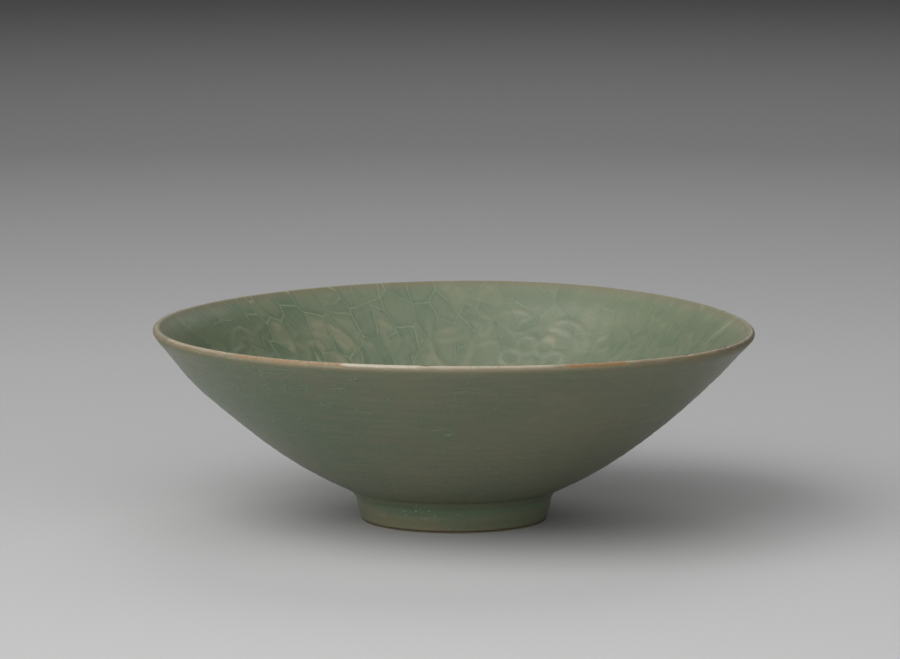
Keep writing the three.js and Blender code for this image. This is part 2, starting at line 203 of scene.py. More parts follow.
@dataclass(frozen=True)
class Clay:
    """Sizes of the fired clay, and its profile in a half-plane of radius and height."""

    rim_radius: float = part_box("stoneware_body")[1][0] / MM
    height: float = 60.5
    wall_at_lip: float = 2.5
    wall_at_foot: float = 4.4
    angle_at_foot: float = 22.5
    angle_at_lip: float = 48.0
    sweep_at_foot: float = 26.5
    sweep_at_lip: float = 29.0
    foot_radius: float = 28.6
    foot_height: float = 9.3
    foot_batter: float = 1.5
    foot_ring_width: float = 5.2
    foot_bevel: float = 0.6
    foot_fillet: float = 0.9
    recess_depth: float = 6.0
    recess_batter: float = 0.8
    recess_fillet: float = 1.6
    floor_thickness: float = 4.6
    floor_angle: float = 6.0
    well_radius: float = 15.0
    well_step: float = 0.7
    well_step_width: float = 1.2

    @property
    def lip_centre(self) -> np.ndarray:
        """Middle of the rounded lip."""
        return np.array([self.rim_radius, self.height]) - self.wall_at_lip / 2

    def outer_wall(self) -> np.ndarray:
        """Outer face of the wall, from the foot up to the rounded lip.

        Returns:
            Its points.
        """
        foot = np.array([self.foot_radius + self.foot_batter, self.foot_height])
        lip_way = heading(self.angle_at_lip)
        top = self.lip_centre - left_of(lip_way) * self.wall_at_lip / 2
        lower = foot + heading(self.angle_at_foot) * self.sweep_at_foot
        return curved([foot, lower, top - lip_way * self.sweep_at_lip, top])

    def inner_wall(self) -> np.ndarray:
        """Inner face of the wall, which lies a tapering thickness inside the outer one.

        Returns:
            Its points.
        """
        outer = self.outer_wall()
        thickness = np.linspace(self.wall_at_foot, self.wall_at_lip, len(outer))
        return outer + outs_of(outer) * thickness[:, None]

    def inside(self) -> np.ndarray:
        """The whole inside face, from the middle of the floor to the rounded lip.

        Returns:
            Its points.
        """
        floor = np.array([0, self.recess_depth + self.floor_thickness])
        well = floor + [self.well_radius, 0]
        step = well + [self.well_step_width, self.well_step]
        wall = self.inner_wall()
        sweep = np.linalg.norm(wall[0] - step) / 3
        lower = step + heading(self.floor_angle) * sweep
        upper = wall[0] - heading(self.angle_at_foot) * sweep
        step_curve = curved([well, well + [self.well_step_width / 2, 0], step], 12)
        return np.concatenate([[floor], step_curve, curved([step, lower, upper, wall[0]])[1:], wall[1:]])

    @property
    def crest(self) -> float:
        """Reach of the lip's highest point."""
        return lengths_along(self.inside())[-1] + self.wall_at_lip / 2 * math.radians(self.angle_at_lip)

    def lip(self, start: float | None = None, end: float | None = None) -> np.ndarray:
        """The rounded lip, over the crest from inside to outside.

        Args:
            start: Angle that it starts at, or none for the end of the inner wall.
            end: Angle that it ends at, or none for the top of the outer wall.

        Returns:
            Its points.
        """
        start = self.angle_at_lip + 90 if start is None else start
        end = self.angle_at_lip - 90 if end is None else end
        angles = np.linspace(start, end, 60)
        return np.array([self.lip_centre + heading(angle) * self.wall_at_lip / 2 for angle in angles])

    def outside(self) -> np.ndarray:
        """The outer face from the lip down over the foot's side to its bevel.

        Returns:
            Its points.
        """
        wall = self.outer_wall()[::-1]
        wall_length = lengths_along(wall)[-1]
        bevel_top = np.array([self.foot_radius, self.foot_bevel])
        side_way = (bevel_top - wall[-1]) / np.linalg.norm(bevel_top - wall[-1])
        before = walked(wall, np.linspace(0, wall_length - self.foot_fillet, 400))
        after = wall[-1] + side_way * self.foot_fillet
        return np.concatenate([before, curved([before[-1], wall[-1], after], 20)[1:], [bevel_top]])

    def resting(self) -> np.ndarray:
        """The foot ring's resting edge, bevelled on both sides.

        Returns:
            Its points.
        """
        ring_inner = self.foot_radius - self.foot_ring_width
        bevel = self.foot_bevel
        outer = curved([[self.foot_radius, bevel], [self.foot_radius, 0], [self.foot_radius - bevel, 0]], 7)
        inner = curved([[ring_inner + bevel, 0], [ring_inner, 0], [ring_inner, bevel]], 7)
        return np.concatenate([outer, inner])

    def base(self) -> np.ndarray:
        """The recess under the base, from the resting edge to the axis.

        Returns:
            Its points.
        """
        side_foot = np.array([self.foot_radius - self.foot_ring_width, self.foot_bevel])
        corner = np.array([side_foot[0] - self.recess_batter, self.recess_depth])
        way = (corner - side_foot) / np.linalg.norm(corner - side_foot)
        fillet = [corner - way * self.recess_fillet, corner, corner - [self.recess_fillet, 0]]
        return np.concatenate([[side_foot], curved(fillet, 20), [[0, self.recess_depth]]])


@dataclass(frozen=True)
class Petals:
    """A ring of dished petals, with the first gap between them along the X axis."""

    count: int
    reach: float
    length: float
    breadth: float
    crease: float = 0.0


@dataclass(frozen=True)
class Ornament:
    """The moulded ornament: a scroll of six flower heads, a ring of lappets and a rosette.

    The inside is rolled flat round the middle of its floor, so that reach and angle become a
    point on a plane. One repeat of the scroll lies there with its flower head on the X axis.
    Lines are lists of degrees round from the flower head and millimetres down from the lip. A
    leaf is vein_in_leaf times as wide as its vein, and a petal crease_in_petal times as wide as
    its crease. The whole is pressed to a share of its drawn height.
    """

    rim_height: float = 0.8
    dish_height: float = 0.1
    dish_rim: float = 0.7
    dish_floor: float = 0.3
    press: float = 0.32
    stem_height: float = 0.7
    stem_width: float = 3.4
    stem_taper: float = 5.0
    leaf_width: float = 6.4
    tendril_width: float = 2.0
    repeats: int = 6
    turn: float = 68.8
    flower_below_lip: float = 33.0
    flower: Petals = Petals(7, 8.2, 10.6, 9.2, 0.25)
    flower_eye: Petals = Petals(5, 3.0, 4.2, 3.6)
    boss: float = 3.8
    boss_height: float = 1.0
    eye_height: float = 0.5
    leaf_vein: float = 0.3
    vein_in_leaf: float = 4.5
    crease_in_petal: float = 4.0
    lappets: Petals = Petals(12, 27, 15, 12.6, 0.3)
    inner_lappets: Petals = Petals(12, 25.6, 8.4, 6.4)
    rosette: Petals = Petals(8, 8.2, 8.4, 6.4, 0.3)
    rosette_boss: float = 3.4
    blur_of_slip: float = 0.55
    blur_of_glaze: float = 2.8
    steps_in_line: int = 26
    map_steps: tuple[float, float] = (0.25, 0.4)
    stems: tuple = (
        ((26.7, 15), (26.7, 22), (26.4, 30), (22, 38), (12, 47), (0, 51), (-14, 47), (-28, 40), (-33.6, 30)),
        ((16.4, 25), (17, 31), (19.5, 37), (22.6, 38)),
    )
    leaves: tuple = (
        ((26, 22.5), (22, 22.4), (17, 19.6)),
        ((20.6, 17.6), (17, 14.4), (13.4, 18.4), (14.8, 22.4)),
        ((37, 30.6), (32.8, 25.4), (28.4, 22.4)),
        ((-1.6, 17.4), (-6.4, 17.2), (-10.6, 20.8), (-12.6, 26.4)),
        ((-19, 16), (-23, 19.6), (-23.6, 25), (-19.4, 28)),
        ((-14, 43), (-15.4, 37), (-20.4, 32.4)),
        ((9, 47.5), (12, 42.6), (16.6, 40.4)),
        ((4, 52), (12, 57), (22, 55.4)),
        ((-8, 51), (-16, 56.6), (-26, 52)),
    )
    tendrils: tuple = (
        ((26.6, 33), (31, 36.6), (34.6, 35.4), (34, 32.4), (31.4, 33)),
        ((-28, 40), (-27, 36), (-24, 37.6), (-25.4, 39.6)),
        ((12, 15), (8, 12.4), (4, 13.6), (5.4, 16)),
        ((22, 47), (27, 47), (29, 43.6), (26, 42.6)),
        ((-17.6, 19), (-15.4, 21.4), (-17, 24.8), (-19.8, 24.2), (-19, 22)),
        ((-24.6, 21), (-28, 19.4), (-30.4, 21.6), (-29, 24.4), (-26.6, 23.6)),
        ((15.4, 27), (11.6, 24.6), (9.4, 26.4), (10.8, 28.6)),
        ((29.4, 19), (32, 17.4), (34, 19.2), (32.6, 21.2)),
        ((0.6, 17.6), (3.4, 20.4), (7.4, 20.6), (8.4, 18)),
        ((-12.8, 31), (-15.6, 33), (-17.6, 30.6), (-15.8, 29)),
    )

    def leaf_half_width(self, share: np.ndarray) -> np.ndarray:
        """Half the width of a leaf, at a share of its length."""
        return self.leaf_width * np.sqrt(np.clip(share * (1 - share), 1e-6, None))

    def stem_half_width(self, share: np.ndarray) -> np.ndarray:
        """Half the width of a stem, which tapers at its start."""
        return self.stem_width / 2 * np.sqrt(np.clip(self.stem_taper * share, 1e-6, 1))

    def tendril_half_width(self, share: np.ndarray) -> np.ndarray:
        """Half the width of a tendril, which tapers at its end."""
        return self.tendril_width / 2 * np.sqrt(np.clip(1.2 - share, 0.2, 1))

    def rounded(self, share: np.ndarray) -> np.ndarray:
        """Height across a rounded form, from 1 in its middle to 0 at its edge."""
        return (1 + np.cos(np.pi * np.clip(share, 0, 1))) / 2

    def dished(self, share: np.ndarray) -> np.ndarray:
        """Height across a petal or leaf, which is dished with a raised rim.

        Args:
            share: Distance from its middle, as a share of its half width.

        Returns:
            The height at each share.
        """
        rim = smooth(share, self.dish_floor, self.dish_rim)
        rise = self.dish_height + (self.rim_height - self.dish_height) * rim
        fall = self.rim_height * self.rounded((share - self.dish_rim) / (1 - self.dish_rim))
        return np.where(share < self.dish_rim, rise, fall)

    def leaf_section(self, share: np.ndarray) -> np.ndarray:
        """Height across a leaf, with the vein along its middle."""
        return self.dished(share) + self.leaf_vein * self.rounded(share * self.vein_in_leaf)

    def petal_height(self, place: np.ndarray, petals: Petals) -> np.ndarray:
        """Height of a ring of petals.

        Args:
            place: Places told from the middle of the ring.
            petals: The ring.

        Returns:
            The height at each place.
        """
        step = 2 * math.pi / petals.count
        bearing = np.arctan2(place[..., 1], place[..., 0])
        middle = (np.floor(bearing / step) + 0.5) * step
        distance = np.hypot(place[..., 0], place[..., 1])
        outwards = (distance * np.cos(bearing - middle) - petals.reach) / (petals.length / 2)
        across = distance * np.sin(bearing - middle) / (petals.breadth / 2)
        share = np.hypot(outwards, across)
        vein = self.rounded(np.abs(across) * self.crease_in_petal) * self.rounded(share)
        return self.dished(share) + petals.crease * vein

    def line_height(
        self,
        place: np.ndarray,
        line: Sequence[tuple[float, float]],
        crest: float,
        half_width: Callable[[np.ndarray], np.ndarray],
        height: Callable[[np.ndarray], np.ndarray],
    ) -> np.ndarray:
        """Height of a form that follows a line.

        Args:
            place: Places on the flat.
            line: The line's points, in degrees and millimetres down from the lip.
            crest: Reach of the lip's crest.
            half_width: Half the width of the form at a share of the line.
            height: Height of the form at a share of its half width.

        Returns:
            The height at each place.
        """
        knots = np.array([heading(degrees) * (crest - down) for degrees, down in line])
        steps = catmull(knots, self.steps_in_line)
        least = np.full(place.shape[:-1], np.inf)
        share = np.zeros_like(least)
        for index in range(1, len(steps)):
            way = steps[index] - steps[index - 1]
            from_start = place - steps[index - 1]
            on_way = np.clip(from_start @ way / (way @ way), 0, 1)
            distance = np.linalg.norm(from_start - on_way[..., None] * way, axis=-1)
            nearer = distance < least
            least = np.where(nearer, distance, least)
            share = np.where(nearer, (index - 1 + on_way) / (len(steps) - 1), share)
        return np.where(least < half_width(share), height(least / half_width(share)), 0)

    def scroll_height(self, place: np.ndarray, crest: float) -> np.ndarray:
        """Height of the scroll on the flat, from the forms of one repeat and its neighbours.

        Args:
            place: Places on the flat, with the repeat's flower head on the X axis.
            crest: Reach of the lip's crest.

        Returns:
            The height at each place.
        """
        forms = (
            (self.stems, self.stem_half_width, self.rounded, self.stem_height),
            (self.tendrils, self.tendril_half_width, self.rounded, self.stem_height),
            (self.leaves, self.leaf_half_width, self.leaf_section, 1.0),
        )
        best = np.zeros(place.shape[:-1])
        for shift in (-1, 0, 1):
            ahead = heading(shift * 360 / self.repeats)
            turned = place @ np.column_stack([ahead, left_of(ahead)])
            for form_lines, half_width, height, scale in forms:
                for line in form_lines:
                    form = self.line_height(turned, line, crest, half_width, height)
                    best = np.maximum(best, form * scale)
        from_flower = place - [crest - self.flower_below_lip, 0]
        best = np.maximum(best, self.petal_height(from_flower, self.flower))
        boss = self.boss_height * self.rounded(np.linalg.norm(from_flower, axis=-1) / self.boss)
        return np.maximum(best, boss + self.eye_height * self.petal_height(from_flower, self.flower_eye))

    def floor_height(self, place: np.ndarray) -> np.ndarray:
        """Height of the lappets and the rosette at places on the flat.

        Args:
            place: Places on the flat.

        Returns:
            The height at each place.
        """
        boss = self.boss_height * self.rounded(np.linalg.norm(place, axis=-1) / self.rosette_boss)
        rings = [self.petal_height(place, ring) for ring in (self.rosette, self.lappets, self.inner_lappets)]
        return np.maximum.reduce([boss, *rings])


class Relief:
    """Maps of the inside, rolled flat: how high it stands, and how deep the glaze pools."""

    def __init__(self, ornament: Ornament, inside: np.ndarray, crest: float) -> None:
        """Draws the maps.

        Args:
            ornament: The moulded forms.
            inside: Profile of the clay's inside.
            crest: Reach of the lip's crest.
        """
        self.column_step, self.row_step = ornament.map_steps
        columns = round(360 / self.column_step)
        rows = math.ceil(crest / self.row_step) + 1
        self.reach = np.arange(rows) * self.row_step
        self.radius = np.maximum(walked(inside, self.reach)[:, 0], 1.0)
        pitch = 360 / ornament.repeats
        in_repeat = np.radians(np.arange(columns // ornament.repeats) * self.column_step - pitch / 2)
        scroll = ornament.scroll_height(self.flat(in_repeat), crest)
        shift = round((ornament.turn - pitch / 2) / self.column_step)
        whole = np.roll(np.tile(scroll, (1, ornament.repeats)), shift, axis=1)
        angles = np.radians(np.arange(columns) * self.column_step)
        raised = np.maximum(whole, ornament.floor_height(self.flat(angles)))
        self.height = self.blurred(raised, ornament.blur_of_slip) * ornament.press
        self.depth = self.blurred(raised, ornament.blur_of_glaze) * ornament.press - self.height

    def flat(self, angles: np.ndarray) -> np.ndarray:
        """Places on the flat, for every row and these angles."""
        ways = np.stack([np.cos(angles), np.sin(angles)], axis=-1)
        return self.reach[:, None, None] * ways[None]

    def blurred(self, values: np.ndarray, size: float) -> np.ndarray:
        """Blurs a map by the same size everywhere on the bowl.

        Args:
            values: The map.
            size: How far it blurs, in millimetres.

        Returns:
            The blurred map.
        """
        waves = np.arange(values.shape[1] // 2 + 1)
        round_axis = np.exp(-0.5 * (waves[None] * size / self.radius[:, None]) ** 2)
        softened = np.fft.irfft(np.fft.rfft(values, axis=1) * round_axis, values.shape[1], axis=1)
        gaps = self.reach[:, None] - self.reach[None]
        weights = np.exp(-0.5 * (gaps / size) ** 2)
        return (weights / weights.sum(axis=1, keepdims=True)) @ softened

    def read(self, values: np.ndarray, angle: np.ndarray, reach: np.ndarray) -> np.ndarray:
        """Reads a map between its rows and columns.

        Args:
            values: The map.
            angle: Angles round the axis, in radians.
            reach: Distances from the middle of the floor.

        Returns:
            The map's value at each place.
        """
        column = np.degrees(angle) / self.column_step % values.shape[1]
        row = np.clip(reach / self.row_step, 0, values.shape[0] - 1.001)
        left, top = column.astype(int), row.astype(int)
        right = (left + 1) % values.shape[1]
        across, down = column - left, row - top
        upper = values[top, left % values.shape[1]] * (1 - across) + values[top, right] * across
        lower = values[top + 1, left % values.shape[1]] * (1 - across) + values[top + 1, right] * across
        return upper * (1 - down) + lower * down


@dataclass(frozen=True)
class Warp:
    """How the bowl moved in the kiln: its rim rose and sank, and went a little out of round.

    Attributes:
        settled: Height below which nothing moved.
        rises: Waves that lift the rim: how many go round, how high, and where each peaks.
        swells: Waves that push the rim out, told the same way.
        bulges: Swellings and hollows of the wall: the angle, height, spreads of both, and size.
        core: Radius within which less and less of a push outwards is felt.
    """

    settled: float = 12.0
    rises: tuple = ((1, 0.62, 127.6), (2, 0.9, 80.1), (3, 0.22, -58.2))
    swells: tuple = ((2, 0.2, 170.0), (3, 0.12, 40.0), (5, 0.08, 10.0), (9, 0.05, 0.0))
    bulges: tuple = (
        (182, 43, 38, 8, 0.9),
        (180, 55, 45, 7, -0.8),
        (0, 47, 50, 13, -1.2),
        (0, 55, 45, 4, -0.8),
        (0, 26, 50, 12, -0.7),
    )
    core: float = 20.0

    def wave(self, waves: tuple, degrees: np.ndarray) -> np.ndarray:
        """Sum of waves round the axis."""
        return sum(size * np.cos(np.radians(count * (degrees - peak))) for count, size, peak in waves)

    def moved(self, points: np.ndarray, height: float) -> np.ndarray:
        """Moves points of the true bowl to where the kiln left them.

        Args:
            points: Points in millimetres.
            height: Height of the bowl.

        Returns:
            The moved points.
        """
        degrees = np.degrees(np.arctan2(points[:, 1], points[:, 0]))
        radius = np.hypot(points[:, 0], points[:, 1])
        share = smooth(points[:, 2], self.settled, height)
        out = share * self.wave(self.swells, degrees)
        for angle, middle, half_angle, half_height, size in self.bulges:
            aside = turn_from(angle, degrees) / half_angle
            out += size * np.exp(-(aside**2) - ((points[:, 2] - middle) / half_height) ** 2)
        scale = 1 + out / np.maximum(radius, self.core)
        lifted = points[:, 2] + share * self.wave(self.rises, degrees)
        return np.stack([points[:, 0] * scale, points[:, 1] * scale, lifted], axis=1)


# What each corner of a turned skin remembers of its place on the profile
REMEMBERED = ("radius", "height", "out_radius", "out_height", "reach", "face")


def meshed(bm: bmesh.types.BMesh, name: str) -> bpy.types.Mesh:
    """Makes a mesh of a finished bmesh.

    Args:
        bm: The bmesh, which is freed.
        name: The mesh's name.

    Returns:
        The mesh.
    """
    mesh = bpy.data.meshes.new(name)
    bm.to_mesh(mesh)
    bm.free()
    return mesh


@dataclass
class Turned:
    """A closed skin turned round the axis, whose corners remember their place on the profile.

    Attributes:
        points: Profile in radius and height, from the axis or a start back to the same.
        out: Way out of the clay at each point.
        reach: Distance of each point along the bowl's own profile.
        face: 1 where the point shows, and 0 where it is hidden against another piece.
        columns: Steps round the axis.
        closed: Whether the profile's last point joins its first.
        finer: Reach beyond which the showing face has three columns for each one, if any.
    """

    points: np.ndarray
    out: np.ndarray
    reach: np.ndarray
    face: np.ndarray
    columns: int
    closed: bool = False
    finer: float | None = None

    def mesh(self, name: str) -> bpy.types.Mesh:
        """Spins the profile into a mesh with one attribute for each remembered value.

        Args:
            name: The mesh's name.

        Returns:
            The mesh, still on the true profile, in millimetres.
        """
        bm = bmesh.new()
        layers = [bm.verts.layers.float.new(layer) for layer in REMEMBERED]
        corners = []
        for values in np.column_stack([self.points, self.out, self.reach, self.face]):
            corner = bm.verts.new((values[0], 0, values[1]))
            for layer, value in zip(layers, values):
                corner[layer] = value
            corners.append(corner)
        following = corners[1:] + (corners[:1] if self.closed else [])
        edges = [bm.edges.new(pair) for pair in zip(corners, following)]
        bmesh.ops.spin(
            bm,
            geom=corners + edges,
            cent=(0, 0, 0),
            axis=(0, 0, 1),
            angle=math.tau,
            steps=self.columns,
            use_merge=True,
        )
        bmesh.ops.remove_doubles(bm, verts=bm.verts, dist=1e-5)
        if self.finer is not None:
            radius, height, _, _, reach, face = layers
            level = [
                edge
                for edge in bm.edges
                if all(vert[face] > 0.5 and vert[reach] > self.finer for vert in edge.verts)
                and abs(edge.verts[0][radius] - edge.verts[1][radius]) < 1e-4
                and abs(edge.verts[0][height] - edge.verts[1][height]) < 1e-4
            ]
            bmesh.ops.subdivide_edges(bm, edges=level, cuts=2, use_grid_fill=True)
        bmesh.ops.recalc_face_normals(bm, faces=bm.faces)
        return meshed(bm, name)


def read_attributes(mesh: bpy.types.Mesh, *names: str) -> list[np.ndarray]:
    """Values of some of a mesh's attributes, one for each of its points.

    Args:
        mesh: The mesh.
        names: Names of the attributes.

    Returns:
        One array for each name.
    """
    found = []
    for name in names:
        values = np.zeros(len(mesh.vertices), dtype=np.float32)
        mesh.attributes[name].data.foreach_get("value", values)
        found.append(values.astype(float))
    return found


def write_attributes(mesh: bpy.types.Mesh, **attributes: np.ndarray) -> None:
    """Writes attributes by name, each of one number or one vector for each of a mesh's points.

    Args:
        mesh: The mesh.
        attributes: Values by the attribute's name.
    """
    for name, values in attributes.items():
        kind, key = ("FLOAT", "value") if values.ndim == 1 else ("FLOAT_VECTOR", "vector")
        layer = mesh.attributes.new(name, kind, "POINT")
        layer.data.foreach_set(key, values.astype(np.float32).ravel())


def angles_of(mesh: bpy.types.Mesh) -> np.ndarray:
    """Angle round the axis of each of a mesh's points.

    Args:
        mesh: The mesh.

    Returns:
        The angles in radians.
    """
    at = np.zeros(len(mesh.vertices) * 3, dtype=np.float32)
    mesh.vertices.foreach_get("co", at)
    x, y, _ = at.reshape(-1, 3).astype(float).T
    return np.arctan2(y, x)


def linked(name: str, data: bpy.types.ID) -> bpy.types.Object:
    """A new object in the scene that holds a mesh, lamp or camera.

    Args:
        name: The object's name.
        data: What it holds.

    Returns:
        The object.
    """
    thing = bpy.data.objects.new(name, data)
    bpy.context.collection.objects.link(thing)
    return thing


def aimed(name: str, data: bpy.types.ID, at: Vector, aim: Vector) -> bpy.types.Object:
    """A new lamp or camera that hangs at a place and points to its aim.

    Args:
        name: The object's name.
        data: The lamp or camera.
        at: Where it hangs, in metres.
        aim: Where it points to.

    Returns:
        The object.
    """
    thing = linked(name, data)
    thing.location = at
    thing.rotation_euler = (aim - at).to_track_quat("-Z", "Y").to_euler()
    return thing


def stand_in(mesh: bpy.types.Mesh, material: bpy.types.Material, node: str) -> None:
    """Puts a finished mesh in the scene, where it stands in for a node.

    Args:
        mesh: The mesh.
        material: Its finish.
        node: The node that it stands for.
    """
    mesh.materials.append(material)
    piece = linked(mesh.name, mesh)
    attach(piece, "root")
    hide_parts(node)
    LOG.info("%s: %d points", mesh.name, len(mesh.vertices))


# What can feed an input: a node, by its first live output, or one output of a node
Source = bpy.types.Node | bpy.types.NodeSocket


def add(
    tree: bpy.types.NodeTree,
    kind: str,
    inputs: Mapping[str | int, object] | None = None,
    stops: Sequence[tuple[float, str]] = (),
    **settings: object,
) -> bpy.types.Node:
    """Adds a node with its settings and links.

    Args:
        tree: The node tree.
        kind: The node's type, without its prefix.
        inputs: For each input, by name or number, a socket to link, a node whose first live
            output is linked, a colour as sRGB, or a value to set.
        stops: Places and sRGB colours of a colour ramp.
        settings: Properties of the node.

    Returns:
        The node.
    """
    node = tree.nodes.new("ShaderNode" + kind)
    for name, value in settings.items():
        setattr(node, name, value)
    for key, value in (inputs or {}).items():
        if isinstance(value, bpy.types.Node):
            value = next(socket for socket in value.outputs if socket.enabled)
        if isinstance(value, bpy.types.NodeSocket):
            tree.links.new(value, node.inputs[key])
        else:
            node.inputs[key].default_value = to_linear(value) if isinstance(value, str) else value
    for index, (at, colour) in enumerate(stops):
        elements = node.color_ramp.elements
        element = elements[index] if index < 2 else elements.new(at)
        element.position = at
        element.color = to_linear(colour)
    return node


def new_material(name: str) -> tuple[bpy.types.Material, bpy.types.NodeTree, bpy.types.NodeSocket]:
    """An empty material, its node tree and the Object coordinates for its patterns.

    Args:
        name: The material's name.

    Returns:
        The material, its tree and the socket of its Object coordinates.
    """
    material = bpy.data.materials.new(name)
    material.use_nodes = True
    tree = material.node_tree
    tree.nodes.clear()
    return material, tree, add(tree, "TexCoord").outputs["Object"]


def surface(
    tree: bpy.types.NodeTree, colour: Source, roughness: Source | float, bumps: Source, strength: float
) -> None:
    """Ends a material in a surface with small bumps.

    Args:
        tree: The node tree.
        colour: Where the surface's colour comes from.
        roughness: Its roughness, or where that comes from.
        bumps: Where the height of the bumps comes from.
        strength: How strongly the bumps show.
    """
    bump = add(tree, "Bump", {"Strength": strength, "Distance": 0.0002, "Height": bumps})
    shading = {"Base Color": colour, "Roughness": roughness, "IOR": 1.5, "Normal": bump}
    add(tree, "OutputMaterial", {"Surface": add(tree, "BsdfPrincipled", shading)})


@dataclass(frozen=True)
class Celadon:
    """Iron-tinted feldspathic glaze, dipped and fired in a smoky kiln to a satin gloss.

    It is thin and pale where it ran off the raised forms, and blue-green where it pooled. Its
    crackle shows as pale threads round cells that differ a little in depth, and a few tiny iron
    specks lie in it.

    Attributes:
        name: The material's name.
        thin, body, deep: Colours of thin, middling and pooled glaze.
        bare: Colour that it burns to beside a bare edge.
        mottle, cloud: Sizes of its fine and its slow patches.
        streaked: Whether the fine patches are drawn out with the crackle along the wall.
        crackle, fine: Sizes of the cells of the coarse and the fine net of cracks.
        crackle_width, fine_width: Widths that the cracks are drawn, as real ones are too fine.
        crackle_share, fine_share: How much of the cracks' own colour shows.
        crackle_side: How far beside a crack the glaze looks deeper.
        facets, mottled, speckle: How much cells, patches and grains shift the glaze's depth.
        roughness: Middle of its roughness.
    """

    name: str
    thin: str = "#7d7e67"
    body: str = "#6c745d"
    deep: str = "#5d6b56"
    bare: str = "#6f6b53"
    mottle: float = 6.0
    cloud: float = 34.0
    crackle: float = 5.2
    crackle_width: float = 0.17
    crackle_share: float = 0.42
    crackle_colour: str = "#949679"
    fine: float = 3.4
    fine_width: float = 0.16
    fine_share: float = 0.36
    crackle_side: float = 0.9
    facets: float = 0.52
    speckle: float = 0.35
    mottled: float = 0.8
    streaked: bool = False
    roughness: float = 0.3

    def crazed(self, tree: bpy.types.NodeTree, at: Source, size: float, width: float) -> tuple[Source, ...]:
        """Adds one net of cracks.

        Args:
            tree: The node tree.
            at: Where the pattern is read, in millimetres.
            size: Size of a cell between cracks.
            width: Width of a crack, drawn wider than real ones, which are under 0.1 mm.

        Returns:
            How much of a crack lies at a place, how near the place is to one, and a tone from 0
            to 1 for its cell.
        """
        bend = add(tree, "TexNoise", {"Vector": at, "Scale": 0.8 / size, "Detail": 2}).outputs["Color"]
        off_line = add(tree, "VectorMath", {0: bend, "Scale": size / 3.5}, operation="SCALE")
        line_at = add(tree, "VectorMath", {0: at, 1: off_line}, operation="ADD")
        net = {"Vector": line_at, "Scale": 1 / size}
        walls = add(tree, "TexVoronoi", net, feature="DISTANCE_TO_EDGE")
        eased = "SMOOTHSTEP"
        line, beside = (
            add(tree, "MapRange", {0: walls, 2: spread / size, 3: 1.0, 4: 0.0}, interpolation_type=eased)
            for spread in (width, width + self.crackle_side)
        )
        tone = add(tree, "SeparateXYZ", {0: add(tree, "TexVoronoi", net).outputs["Color"]})
        return line, beside, tone

    def material(self) -> bpy.types.Material:
        """Makes the material.

        Returns:
            The material, which reads the attributes pool, edge, flow, coarse, fine and burst.
        """
        material, tree, object_at = new_material(self.name)
        flow_at = add(tree, "Attribute", attribute_name="flow").outputs["Vector"]
        pool, edge, coarse, fine, burst = (
            add(tree, "Attribute", attribute_name=name).outputs["Fac"]
            for name in ("pool", "edge", "coarse", "fine", "burst")
        )

        # Two nets of cracks, of which the finer one is drawn out along the wall
        drawn_out = add(tree, "VectorMath", {0: flow_at, 1: (1.0, 1.0, 0.3)}, operation="MULTIPLY")
        crack, beside, tone = self.crazed(tree, flow_at, self.crackle, self.crackle_width)
        thread, _, _ = self.crazed(tree, drawn_out, self.fine, self.fine_width)
        gone = add(tree, "TexNoise", {"Vector": object_at, "Scale": per_metre(9), "Detail": 3})
        kept = add(tree, "MapRange", {0: gone, 1: 0.38, 2: 0.56, 3: 0.12, 4: 1.2})
        crack_share, thread_share = (
            add(tree, "Math", {0: kept, 1: net}, operation="MULTIPLY") for net in (coarse, fine)
        )
        crack_seen = add(tree, "Math", {0: crack, 1: crack_share}, operation="MULTIPLY")
        thread_seen = add(tree, "Math", {0: thread, 1: thread_share}, operation="MULTIPLY")

        # Slow clouds, a finer mottle and the cells between cracks shift how deep the glaze looks
        cloud = add(tree, "TexNoise", {"Vector": object_at, "Scale": per_metre(self.cloud), "Detail": 3})
        at, scale = (flow_at, 1 / self.mottle) if self.streaked else (object_at, per_metre(self.mottle))
        mottle = add(tree, "TexNoise", {"Vector": at, "Scale": scale, "Detail": 6, "Roughness": 0.62})
        speckle = add(tree, "TexNoise", {"Vector": object_at, "Scale": per_metre(1.1), "Detail": 3})
        toned = add(tree, "Math", {0: coarse, 1: self.facets, 2: 0.08}, operation="MULTIPLY_ADD")
        facet = add(tree, "MapRange", {0: tone, 3: -0.5, 4: 0.5})
        tone_seen = add(tree, "Math", {0: facet, 1: toned}, operation="MULTIPLY")
        side_seen = add(tree, "Math", {0: beside, 1: crack_share}, operation="MULTIPLY")
        depth = pool
        for part, share in (
            (cloud, 0.7),
            (mottle, self.mottled),
            (speckle, self.speckle),
            (tone_seen, 1.0),
            (side_seen, 0.42),
        ):
            depth = add(tree, "Math", {0: part, 1: share, 2: depth}, operation="MULTIPLY_ADD")
        middle = 0.35 + (self.mottled + self.speckle) / 2
        level = add(tree, "Math", {0: depth, 1: middle}, operation="SUBTRACT")
        tint = add(tree, "ValToRGB", {0: level}, [(0.1, self.thin), (0.92, self.deep), (0.48, self.body)])

        # The glaze burns brown where it thins out towards a bare edge
        ragged = add(tree, "Math", {0: mottle, 1: 0.8, 2: edge}, operation="MULTIPLY_ADD")
        burnt = add(tree, "MapRange", {0: ragged, 1: 0.62, 2: 1.4})

        # Cracks are pale, because light comes back from their walls
        cracks, threads = (
            add(tree, "Math", {0: seen, 1: share}, operation="MULTIPLY")
            for seen, share in ((crack_seen, self.crackle_share), (thread_seen, self.fine_share))
        )

